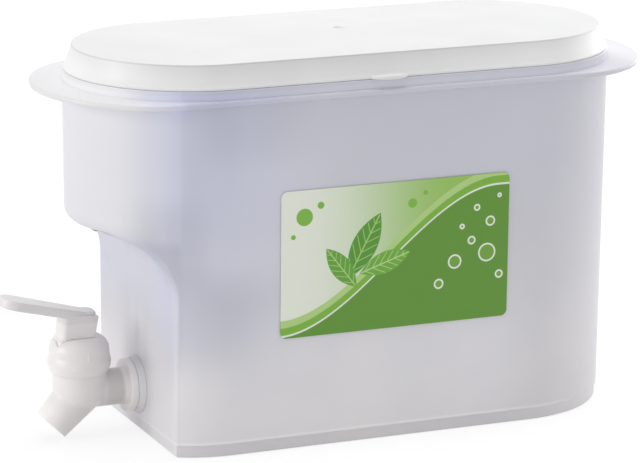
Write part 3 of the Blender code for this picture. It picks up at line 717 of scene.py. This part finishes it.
tap = dict(
    axisZ=0.0218, barrelX=-0.1307, barrelRadius=0.0126, barrelTop=0.0318, barrelBottom=0.0095,
    neckRadius=0.0112, neckTop=0.0378, chamberRadius=0.009, chamberTop=0.05, seatZ=0.0163,
    seatThickness=0.002, seatHole=0.0045, spoutDrop=0.0011, spoutLength=0.0201, spoutRoot=0.0104,
    spoutEnd=0.0087, spoutBore=0.0068, spoutDegrees=45, shankRadius=0.0087, flangeRadius=0.0126,
    flangeThickness=0.0035, flangeX=-0.1054, shankEnd=-0.0858, shankBore=0.005, shankBoreEnd=-0.07,
    threadRadius=0.0076, threadRoot=0.007, threadPitch=0.0022, threadInset=0.001, threadMargin=0.002,
    threadChamfer=0.0006, steps=72, voxel=0.00036, meltRounds=6,
    # where each ring falls, lies and rises again, along the shank
    ringPlaces=(0.0006, 0.001, 0.0016),
)


def makeTapBody():
    size = tap
    axisZ, barrelX, radius = size["axisZ"], size["barrelX"], size["barrelRadius"]
    thread, root, chamfer = size["threadRadius"], size["threadRoot"], size["threadChamfer"]
    flangeX, seatZ, shankEnd, steps = size["flangeX"], size["seatZ"], size["shankEnd"], size["steps"]
    onBarrel, onShank = (barrelX, 0, 0), (0, 0, axisZ)
    spoutTurn = {"rotation": (0, math.radians(size["spoutDegrees"]), 0),
                 "location": (barrelX, 0, axisZ - size["spoutDrop"])}

    profile = [(0, size["neckTop"]), (size["neckRadius"], size["neckTop"]),
               (size["neckRadius"], size["barrelTop"]), (radius, size["barrelTop"])]
    flatten = size["barrelBottom"] / radius
    profile += [(x, axisZ + z * flatten) for x, z in arcPoints(0, 0, radius, 0, -90, 16)[:-1]]
    profile.append((0, axisZ - size["barrelBottom"]))
    body = turnedSolid("tapMoulding", profile, steps)
    movePiece(body, location=onBarrel)
    profile = toAxis([(size["spoutRoot"], 0), (size["spoutEnd"], -size["spoutLength"])])
    spout = turnedSolid("spout", profile, steps)
    movePiece(spout, **spoutTurn)
    join(body, spout)

    fall, lie, rise = size["ringPlaces"]
    shank = [(thread - chamfer, shankEnd), (thread, shankEnd - chamfer)]
    place = shankEnd - size["threadInset"]
    while place > flangeX + size["threadMargin"]:
        shank += [(thread, place), (root, place - fall), (root, place - lie), (thread, place - rise)]
        place -= size["threadPitch"]
    front = flangeX - size["flangeThickness"]
    shank += [(thread, flangeX), (size["flangeRadius"], flangeX), (size["flangeRadius"], front),
              (size["shankRadius"], front), (size["shankRadius"], barrelX)]
    threaded = turnedSolid("shank", toAxis(shank), steps, "X")
    movePiece(threaded, location=onShank)
    join(body, threaded)

    cutRound(body, "chamber", size["chamberRadius"], size["chamberTop"], seatZ, 48, location=onBarrel)
    seatLow = seatZ - size["seatThickness"]
    cutRound(body, "seatHole", size["seatHole"], seatZ + 0.003, seatLow - size["seatHole"] / 2, 44,
             location=onBarrel)
    bore = roundBar("spoutBore", size["spoutBore"], 0.005, -0.03, 52)
    movePiece(bore, **spoutTurn)
    cutOff(bore, (barrelX, 0, seatLow), (0, 0, 1))
    cut(body, bore)
    cutRound(body, "shankBore", size["shankBore"], size["shankBoreEnd"], barrelX, 46, "X", onShank)
    closeMesh(body)
    melt(body, size["voxel"], size["meltRounds"])
    return body


bonnetSizes = dict(
    radius=0.0142, z=0.0321, topZ=0.0483, shoulderReach=0.0057, shoulderDrop=0.0068,
    belly=((0.0143, 0.0395), (0.0147, 0.038), (0.0149, 0.0364), (0.0148, 0.0349), (0.0144, 0.0336),
           (0.0139, 0.0325), (0.0135, 0.0316), (0.0131, 0.0309)),
    skirtInside=0.01275, neckGap=0.0003, webLow=0.0395, webHigh=0.0411, stemHole=0.0021, slotHalfWidth=0.0047,
    slotFront=0.0099, slotRear=0.0046, margin=0.001, topMargin=0.005, pocketRadius=0.00625,
    pocketHalfWidth=0.0064, pocketRound=0.0022,
    # the pocket's outline seen along Y, from the lever's pivot
    pocket=((0.0015, 0.008), (0.0015, 0.00255), (-0.0016, 0.0015), (-0.008, -0.0045), (-0.008, 0.008)),
    pivotX=-0.1367, pivotZ=0.0441, pinHole=0.0013, pinHoleRise=0.003, pinHoleEnd=0.0016, ribLow=0.0376,
    ribHigh=0.043, ribWidth=0.0007, ribProud=0.0003, voxel=0.00026, meltRounds=4,
)
pivotX, pivotZ = bonnetSizes["pivotX"], bonnetSizes["pivotZ"]
# half the bonnet's width at the pivot
pinReach = math.sqrt(bonnetSizes["radius"] ** 2 - (pivotX - tap["barrelX"]) ** 2)


def makeHeel(name, radius, halfWidth, roundness, outline, margin=0.001):
    # a round-edged drum about the lever's pivot, of which the part inside an outline seen along Y is kept
    profile = arcPoints(radius - roundness, halfWidth - roundness, roundness, 90, 0, 6)
    profile += arcPoints(radius - roundness, roundness - halfWidth, roundness, 0, -90, 6)
    heel = turnedSolid(name, toAxis(profile), 96, "Y")
    movePiece(heel, location=(pivotX, 0, pivotZ))
    reach = halfWidth + margin
    kept = flatSolid("heelOutline", [(pivotX + x, pivotZ + z) for x, z in outline], -reach, reach)
    combine(heel, kept, "INTERSECT")
    return heel


def makeBonnet():
    size = bonnetSizes
    barrelX, radius, topZ, margin = tap["barrelX"], size["radius"], size["topZ"], size["margin"]
    webLow, webHigh = size["webLow"], size["webHigh"]
    onBarrel = (barrelX, 0, 0)
    reach, drop = size["shoulderReach"], size["shoulderDrop"]
    profile = [(radius - reach + reach * x, topZ - drop + drop * z) for x, z in arcPoints(0, 0, 1, 90, 0, 14)]
    bonnet = turnedSolid("tapBonnet", toAxis([*profile, *size["belly"]]), tap["steps"])
    movePiece(bonnet, location=onBarrel)
    for side in (-1, 1):
        outline = rectangle(-size["ribWidth"] / 2, size["ribLow"], size["ribWidth"] / 2, size["ribHigh"])
        rib = flatSolid("sideRib", outline, radius - margin, radius + size["ribProud"])
        movePiece(rib, location=onBarrel, scale=(1, side, 1))
        closeMesh(rib)
        join(bonnet, rib)
    neck = tap["neckRadius"] + size["neckGap"]
    inside, z = size["skirtInside"], size["z"]
    profile = toAxis([(neck, webLow), (neck, z), (inside, z), (inside, z - size["topMargin"])])
    hollow = turnedSolid("bonnetHollow", profile, 48)
    movePiece(hollow, location=onBarrel)
    cut(bonnet, hollow)
    cutRound(bonnet, "stemHole", size["stemHole"], webHigh + margin, webLow - margin, 32, location=onBarrel)
    outline = rectangle(barrelX - size["slotFront"], webHigh, barrelX + size["slotRear"],
                        topZ + size["topMargin"])
    slot = flatSolid("slot", outline, -size["slotHalfWidth"], size["slotHalfWidth"])
    cut(bonnet, slot)
    pocket = makeHeel("heelPocket", size["pocketRadius"], size["pocketHalfWidth"], size["pocketRound"],
                      size["pocket"])
    cut(bonnet, pocket)
    cutRound(bonnet, "pinHole", size["pinHole"], pinReach + size["pinHoleRise"], -pinReach + size["pinHoleEnd"],
             24, "Y", (pivotX, 0, pivotZ))
    closeMesh(bonnet)
    melt(bonnet, size["voxel"], size["meltRounds"])
    return bonnet


lever = dict(
    tilt=math.radians(14.6), length=0.049, thickness=0.0044, tipWidth=0.016, rearWidth=0.011, rearX=-0.1212,
    rearZ=0.0584, edge=0.0007, rearInset=0.0022, rearRound=0.0035, lipBend=math.radians(6),
    lipFolds=(0.0083, 0.0068), neckHalf=0.0063, neckTop=((-0.1227, 0.0585), (-0.1396, 0.06)),
    neckFoot=(-0.1246, -0.141), footZ=0.0484, neckRound=0.0026, neckEdge=0.0008, neckFrontX=-0.135,
    neckRearX=-0.13, neckClear=0.001, heelRadius=0.0061, heelRound=0.0021, heelInset=0.0001,
    # the heel's outline seen along Y, from the pivot
    heel=((0.001, 0.0058), (0.001, 0.003), (-0.0016, 0.0022), (-0.008, -0.001), (-0.008, 0.0058)),
    tongueHalf=0.0042, tongueFront=0.0027, tongueRear=0.0019, tongueRise=0.002, eyeRadius=0.0023,
    eyeHole=0.0014, eyeReach=0.006, sideStep=0.0002, prongThickness=0.0014, prongDrop=0.0007,
    prongLength=0.0084, prongInner=0.0021,
)


def makeLever():
    size = lever
    tip, rear, thickness = size["tipWidth"] / 2, size["rearWidth"] / 2, size["thickness"]
    inset, turn = size["rearInset"], size["rearRound"]
    outline = arcPoints(-inset - turn, rear - turn, turn, 90, 0, 6)
    outline += arcPoints(-inset - turn, turn - rear, turn, 0, -90, 6)
    outline += [(-x, y) for x, y in arcPoints(size["length"] - tip, 0, tip, -90, 90, 24)]
    paddle = flatSolid("tapLever", outline, -thickness, 0, "XY")
    # the rear end is bent a little upwards, in two folds
    for fold in size["lipFolds"]:
        openEdit(paddle)
        selectAll()
        bpy.ops.mesh.bisect(plane_co=(-fold, 0, 0), plane_no=(1, 0, 0))
        pick(paddle, "verts", lambda vert: vert.co.x > -fold + 0.0001)
        bpy.ops.transform.rotate(value=size["lipBend"], orient_axis="Y", center_override=(-fold, 0, 0))
        closeEdit()
    softenEdges(paddle, size["edge"], 3, 50)
    movePiece(paddle, rotation=(0, size["tilt"], 0), location=(size["rearX"], 0, size["rearZ"]))

    (rearTop, frontTop), (rearFoot, frontFoot), footZ = size["neckTop"], size["neckFoot"], size["footZ"]
    half = size["neckHalf"]
    block = flatSolid("leverNeck", [rearTop, frontTop, (frontFoot, footZ), (rearFoot, footZ)], -half, half)
    bevelEdges(block, lambda edge: all(vert.co.x < size["neckFrontX"] for vert in edge.verts)
               and abs(edge.verts[0].co.y - edge.verts[1].co.y) < 1e-6, size["neckRound"], 6)
    bevelEdges(block, lambda edge: all(vert.co.x > size["neckRearX"] for vert in edge.verts)
               and any(vert.co.z > footZ + size["neckClear"] for vert in edge.verts), size["neckEdge"], 3)
    join(paddle, block)
    heel = makeHeel("leverHeel", size["heelRadius"], half - size["heelInset"], size["heelRound"], size["heel"])
    join(paddle, heel)

    side, step = size["tongueHalf"], size["sideStep"]
    outline = rectangle(pivotX - size["tongueFront"], pivotZ, pivotX + size["tongueRear"],
                        footZ + size["tongueRise"])
    join(paddle, flatSolid("tongue", outline, -side, side))
    eye = roundBar("eye", size["eyeRadius"], side + step, -side - step, 32, "Y")
    movePiece(eye, location=(pivotX, 0, pivotZ))
    join(paddle, eye)
    top = pivotZ - size["prongDrop"]
    outline = rectangle(pivotX, top - size["prongThickness"], pivotX + size["prongLength"], top)
    for low, high in ((step - side, -size["prongInner"]), (size["prongInner"], side - step)):
        join(paddle, flatSolid("prong", outline, low, high))
    cutRound(paddle, "eyeHole", size["eyeHole"], size["eyeReach"], -size["eyeReach"], 24, "Y",
             (pivotX, 0, pivotZ))
    closeMesh(paddle)
    finishShading(paddle, 32)
    return paddle


washerSizes = dict(outer=0.0127, inner=0.0081, corner=0.0002, flare=0.0011, flareEdge=0.0001, innerEdge=0.0004,
                   outerX=-0.10535, outerThickness=0.0032, innerX=-0.0996, innerThickness=0.002)


def makeWasher(name, x, thickness):
    size = washerSizes
    outer, inner, corner, far = size["outer"], size["inner"], size["corner"], x + thickness
    flare, small, edge = outer + size["flare"], size["flareEdge"], size["innerEdge"]
    profile = [(flare - small, far), (flare, far - small)]
    profile += arcPoints(outer - corner, x + corner, corner, 0, -90, 6)
    profile += [(inner + edge, x), (inner, x + edge), (inner, far - edge), (inner + edge, far)]
    washer = turnedSolid(name, profile, 72, "X")
    movePiece(washer, location=(0, 0, tap["axisZ"]))
    finishShading(washer, 50)
    return washer


nutSizes = dict(x=-0.0973, thickness=0.008, acrossFlats=0.024, crownTop=0.0123, crown=0.0142,
                crownDrop=0.0011, bore=0.0079, boreStart=0.012, boreEnd=-0.004, edge=0.0003)


def makeNut():
    size = nutSizes
    thickness, crown = size["thickness"], size["crown"]
    corner = size["acrossFlats"] / 2 / math.cos(math.radians(30))
    angles = [math.radians(60 * number) for number in range(6)]
    outline = [(corner * math.cos(angle), corner * math.sin(angle)) for angle in angles]
    nut = flatSolid("backNut", outline, 0, thickness, "XY")
    profile = toAxis([(size["crownTop"], thickness), (crown, thickness - size["crownDrop"]), (crown, 0)])
    combine(nut, turnedSolid("nutCrown", profile, 72), "INTERSECT")
    cutRound(nut, "nutBore", size["bore"], size["boreStart"], size["boreEnd"], 48)
    movePiece(nut, rotation=(0, math.pi / 2, 0), location=(size["x"], 0, tap["axisZ"]))
    closeMesh(nut)
    softenEdges(nut, size["edge"], 2, 25)
    finishShading(nut, 32)
    return nut


def turnedPiece(name, profile, steps, axis, location):
    piece = turnedSolid(name, profile, steps, axis)
    movePiece(piece, location=location)
    finishShading(piece, 50)
    return piece


pinSizes = dict(radius=0.0011, corner=0.0003, headInset=0.0006, tailInset=0.0022)


def makePin():
    radius, corner = pinSizes["radius"], pinSizes["corner"]
    low, high = -pinReach + pinSizes["tailInset"], pinReach - pinSizes["headInset"]
    profile = [(radius - corner, high), (radius, high - corner), (radius, low + corner), (radius - corner, low)]
    return turnedPiece("leverPin", toAxis(profile), 32, "Y", (pivotX, 0, pivotZ))


stemSizes = dict(headZ=0.044, topZ=0.0456, bottomZ=0.019, head=0.0032, rod=0.0016, corner=0.0003, fine=0.0002)


def makeStem():
    size = stemSizes
    headZ, topZ, bottom, head, rod = size["headZ"], size["topZ"], size["bottomZ"], size["head"], size["rod"]
    corner, fine = size["corner"], size["fine"]
    profile = [(head - corner, topZ), (head, topZ - corner), (head, headZ + fine), (head - fine, headZ),
               (rod + fine, headZ), (rod, headZ - fine), (rod, bottom + corner), (rod - corner, bottom)]
    return turnedPiece("valveStem", toAxis(profile), 40, "Z", (tap["barrelX"], 0, 0))


plugSizes = dict(lowZ=0.0166, discZ=0.0188, hubZ=0.0238, socketZ=0.0187, socket=0.0019, hub=0.0036, disc=0.0066,
                 corner=0.0003, fine=0.0002)


def makePlug():
    size = plugSizes
    low, discZ, hubZ, socket = size["lowZ"], size["discZ"], size["hubZ"], size["socket"]
    hub, disc, corner, fine = size["hub"], size["disc"], size["corner"], size["fine"]
    profile = [(socket, size["socketZ"]), (socket, hubZ - fine), (socket + fine, hubZ), (hub - fine, hubZ),
               (hub, hubZ - fine), (hub, discZ + corner), (hub + corner, discZ), (disc - corner, discZ),
               (disc, discZ - corner), (disc, low + corner), (disc - corner, low)]
    return turnedPiece("valvePlug", toAxis(profile), 48, "Z", (tap["barrelX"], 0, 0))


sealSizes = dict(low=0.0381, high=0.0392, outer=0.0112, inner=0.0019, corner=0.0002)


def makeSeal():
    size = sealSizes
    low, high, outer, inner, corner = size["low"], size["high"], size["outer"], size["inner"], size["corner"]
    profile = [(outer - corner, high), (outer, high - corner), (outer, low + corner), (outer - corner, low),
               (inner + corner, low), (inner, low + corner), (inner, high - corner), (inner + corner, high)]
    return turnedPiece("stemSeal", profile, 48, "Z", (tap["barrelX"], 0, 0))


springSizes = dict(wire=0.0004, wireSides=10, radius=0.0046, low=0.0195, high=0.0374, turns=8, turnSteps=24)


def makeSpring():
    size = springSizes
    low, turns, turnSteps = size["low"], size["turns"], size["turnSteps"]
    bpy.ops.mesh.primitive_circle_add(vertices=size["wireSides"], radius=size["wire"], fill_type="NOTHING",
                                      location=(size["radius"], 0, low), rotation=(math.pi / 2, 0, 0))
    spring = bpy.context.object
    spring.name = spring.data.name = "stemSpring"
    bakePlace(spring)
    useModifier(spring, "SCREW", axis="Z", steps=turnSteps, render_steps=turnSteps, iterations=turns,
                screw_offset=(size["high"] - low) / turns, use_merge_vertices=True)
    openEdit(spring)
    selectAll()
    bpy.ops.mesh.fill_holes(sides=0)
    closeEdit()
    closeMesh(spring)
    movePiece(spring, location=(tap["barrelX"], 0, 0))
    finishShading(spring, 60)
    return spring


def makeOuterWasher():
    return makeWasher("outerWasher", washerSizes["outerX"], washerSizes["outerThickness"])


def makeInnerWasher():
    return makeWasher("innerWasher", washerSizes["innerX"], washerSizes["innerThickness"])


for make, body, material, node in (
        (makeTapBody, "jug", tapPlastic, "tap_body"), (makeBonnet, "jug", tapPlastic, "tap_bonnet"),
        (makeLever, "lever", tapPlastic, "tap_lever"), (makeOuterWasher, "jug", silicone, "outer_washer"),
        (makeInnerWasher, "jug", silicone, "inner_washer"), (makeNut, "jug", tapPlastic, "back_nut"),
        (makePin, "jug", pinSteel, "lever_pin"), (makeStem, "valve", tapPlastic, "valve_stem"),
        (makePlug, "valve", silicone, "valve_plug"), (makeSeal, "jug", silicone, "stem_seal")):
    finishPiece(make(), body, material, node, node)
spring = makeSpring()
finishPiece(spring, "jug", springSteel, "stem_spring", "stem_spring")
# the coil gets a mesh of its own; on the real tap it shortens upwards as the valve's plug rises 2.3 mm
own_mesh(spring)


# The print, in millimetres from the label's centre: hill bands as (start below the hill's line, ink),
# leaves as (x, z, degrees, length, width, ink, vein ink), rings and dots as (x, z, radius).
labelPrint = dict(
    fadeFrom="#F3F8EA", fadeTo="#9CCB5A", fadeStart=-50.0, fadeEnd=30.0, ringHole="#6FA92C", ringInk="#F4F9EC",
    dotInk="#7FBF3A", hill=(-58.0, 52.0, -33.0, 30.0), hillSoftness=0.3,
    bands=((-7.0, "#B9DC86"), (-3.5, "#7DBB2E"), (0.0, "#F4F9EC"), (0.9, "#5C9716")),
    leaves=((-16.0, 6.0, -62.0, 34.0, 13.0, "#4E9A1C", "#A6D46A"),
            (-5.5, -3.0, -18.0, 27.0, 10.5, "#6DB32B", "#C3E394"),
            (-27.5, -3.5, -128.0, 25.0, 10.0, "#5FA824", "#B4DB80")),
    rings=((30.0, -6.0, 3.6), (38.5, 3.5, 2.2), (33.5, 10.5, 1.5), (46.5, -3.0, 4.6), (48.0, 12.0, 2.6),
           (41.0, 19.0, 1.8), (52.5, 24.0, 1.3), (22.0, -16.0, 2.6), (53.0, -14.0, 2.2)),
    dots=((-46.0, 22.0, 4.2), (-38.0, 27.0, 1.8), (-51.5, 13.0, 1.3), (8.0, 24.0, 2.4), (14.5, 28.5, 1.3)),
    discSoftness=0.25, ringWidth=0.8, veinSlant=-0.45, veinCount=22.0, roughness=0.32, coat=0.3,
    coatRoughness=0.15,
)


def makeLabelPrint():
    # Gloss polypropylene film, screen printed: flat inks with a soft fade and a slight shine
    look = labelPrint
    material, add, shader = newMaterial("printedPolypropyleneFilm")
    place = add("TexCoord").outputs["Object"]
    shift = (-1000 * labelSizes["centreX"], 0, -1000 * labelSizes["centreZ"])
    millimetres = add("Mapping", {"Vector": place, "Scale": (1000, 0, 1000), "Location": shift},
                      vector_type="POINT")
    split = add("SeparateXYZ", {0: millimetres})
    across, up = split.outputs["X"], split.outputs["Z"]
    fade = add("MapRange", {0: across, 1: look["fadeStart"], 2: look["fadeEnd"]},
               interpolation_type="SMOOTHSTEP")
    ink = add("Mix", {0: fade, 6: look["fadeFrom"], 7: look["fadeTo"]}, data_type="RGBA")

    def lay(mask, colour):
        # prints one flat ink over what is there, where the mask is 1
        nonlocal ink
        ink = add("Mix", {0: mask, 6: ink, 7: colour}, data_type="RGBA")

    def leaf(x, z, degrees, length, width, colour, veinColour):
        # an outline of two arcs, filled, with slanted veins and a middle rib
        local = add("Mapping", {"Vector": millimetres, "Location": (x, 0, z),
                                "Rotation": (0, math.radians(degrees), 0), "Scale": (length / 2, 1, width / 2)},
                    vector_type="TEXTURE")
        parts = add("SeparateXYZ", {0: local})
        along = parts.outputs["X"]
        side = add("Math", {0: parts.outputs["Z"]}, operation="ABSOLUTE")
        reach = add("Math", {0: along, 1: along, 2: side}, operation="MULTIPLY_ADD")
        lay(add("MapRange", {0: reach, 1: 1.0, 2: 0.96}), colour)
        slant = add("Math", {0: side, 1: look["veinSlant"], 2: along}, operation="MULTIPLY_ADD")
        spread = add("Math", {0: slant, 1: look["veinCount"]}, operation="MULTIPLY")
        wave = add("Math", {0: spread}, operation="SINE")
        vein = add("MapRange", {0: wave, 1: 0.86, 2: 0.97})
        rib = add("MapRange", {0: side, 1: 0.07, 2: 0.04})
        lines = add("Math", {0: vein, 1: rib}, operation="MAXIMUM")
        inside = add("MapRange", {0: reach, 1: 0.93, 2: 0.85})
        lay(add("Math", {0: lines, 1: inside}, operation="MULTIPLY"), veinColour)

    def disc(x, z, radius, colour, hole=None):
        soft = look["discSoftness"]
        offset = add("VectorMath", {0: millimetres, 1: (x, 0, z)}, operation="DISTANCE")
        lay(add("MapRange", {0: offset, 1: radius, 2: radius - soft}), colour)
        if hole:
            inner = radius - look["ringWidth"]
            lay(add("MapRange", {0: offset, 1: inner, 2: inner - soft}), hole)

    # a hill of dark green that rises to the right, edged with a pale and a mid green band
    left, right, low, high = look["hill"]
    climb = add("MapRange", {0: across, 1: left, 2: right, 3: low, 4: high}, interpolation_type="SMOOTHSTEP")
    depth = add("Math", {0: climb, 1: up}, operation="SUBTRACT")
    for start, colour in look["bands"]:
        lay(add("MapRange", {0: depth, 1: start, 2: start + look["hillSoftness"]}), colour)
    for values in look["leaves"]:
        leaf(*values)
    for values in look["rings"]:
        disc(*values, look["ringInk"], look["ringHole"])
    for values in look["dots"]:
        disc(*values, look["dotInk"])
    link(ink, shader, "Base Color")
    shader.inputs["Roughness"].default_value = look["roughness"]
    shader.inputs["Coat Weight"].default_value = look["coat"]
    shader.inputs["Coat Roughness"].default_value = look["coatRoughness"]
    return material


label = makeLabel()
finishPiece(label, "jug", makeLabelPrint(), "label", "label")
print("label printed")


studio = dict(
    worldStrength=0.53, floorSize=6.0, floorZ=-0.0002, floorShadowShare=0.3, floorGlow=1.12,
    floorColours=("#F0F0F0", "#F6F6F6"), lampSize=1.2, lampTarget=(0, 0, 0.08),
    cameraPlace=(-0.6503, -1.49379, 0.49418), cameraTarget=(-0.00912, 0.0, 0.08685), cameraRoll=0.444,
    cameraLens=198.39, cameraSensor=36, cameraClip=(0.05, 20),
)
# each lamp's place and power
lamps = dict(
    leftKey=((-2.0, 0.0, 0.5), 14.0), topSoft=((0.0, 0.0, 2.0), 9.6), topBack=((0.2, 1.2, 1.7), 3.5),
    rightRim=((2.0, 0.0, 0.5), 8.2), rightBack=((1.7, 1.1, 0.6), 10.3),
)


def seenBright(add):
    # 1 for rays from the camera, through clear things and from glossy skins, 0 for the diffuse light
    path = add("LightPath")
    seen = add("Math", {0: path.outputs["Is Camera Ray"], 1: path.outputs["Is Transmission Ray"]},
               operation="MAXIMUM")
    return add("Math", {0: seen, 1: path.outputs["Is Glossy Ray"]}, operation="MAXIMUM")


def makeFloor():
    # Matt white paint, rolled: shown to the camera nearly as bright as the backdrop, keeping the jug's shadow
    bpy.ops.mesh.primitive_plane_add(size=studio["floorSize"], location=(0, 0, studio["floorZ"]))
    floor = bpy.context.object
    floor.name = "studioFloor"
    material, add, shader = newMaterial("paintedPaleFloor")
    place = add("TexCoord").outputs["Object"]
    mottle = add("TexNoise", {"Vector": place, "Scale": 12.0})
    darker, lighter = studio["floorColours"]
    tone = add("Mix", {0: mottle, 6: darker, 7: lighter}, data_type="RGBA")
    link(tone, shader, "Base Color")
    shader.inputs["Roughness"].default_value = 0.9
    shader.inputs["Specular IOR Level"].default_value = 0.1
    glow = add("Emission", {"Color": (1, 1, 1, 1), "Strength": studio["floorGlow"]})
    share = add("Math", {0: seenBright(add), 1: 1 - studio["floorShadowShare"]}, operation="MULTIPLY")
    blend = add("MixShader", {0: share, 1: shader.outputs[0], 2: glow})
    link(blend, material.node_tree.nodes["Material Output"], "Surface")
    floor.data.materials.append(material)


def makeWorld():
    world = bpy.data.worlds.new("paleRoom")
    bpy.context.scene.world = world
    world.use_nodes = True
    add = partial(addNode, world.node_tree)
    background = world.node_tree.nodes["Background"]
    strength = add("MapRange", {0: seenBright(add), 3: studio["worldStrength"], 4: 1.0})
    link(strength, background, "Strength")
    background.inputs["Color"].default_value = (1, 1, 1, 1)


def makeLamp(name, place, power):
    bpy.ops.object.light_add(type="AREA", location=place)
    lamp = bpy.context.object
    lamp.name = name
    lamp.data.shape = "RECTANGLE"
    lamp.data.size = lamp.data.size_y = studio["lampSize"]
    lamp.data.energy = power
    lamp.rotation_euler = (Vector(studio["lampTarget"]) - Vector(place)).to_track_quat("-Z", "Y").to_euler()


def makeCamera():
    data = bpy.data.cameras.new("photoCamera")
    camera = bpy.data.objects.new("photoCamera", data)
    bpy.context.scene.collection.objects.link(camera)
    place, target = Vector(studio["cameraPlace"]), Vector(studio["cameraTarget"])
    turn = (target - place).to_track_quat("-Z", "Y")
    camera.location = place
    camera.rotation_euler = (turn @ Quaternion((0, 0, 1), math.radians(studio["cameraRoll"]))).to_euler()
    data.sensor_width = studio["cameraSensor"]
    data.lens = studio["cameraLens"]
    data.clip_start, data.clip_end = studio["cameraClip"]
    bpy.context.scene.camera = camera


makeFloor()
makeWorld()
for name, (place, power) in lamps.items():
    makeLamp(name, place, power)
makeCamera()
bpy.context.scene.view_settings.view_transform = "Standard"
print("studio made")
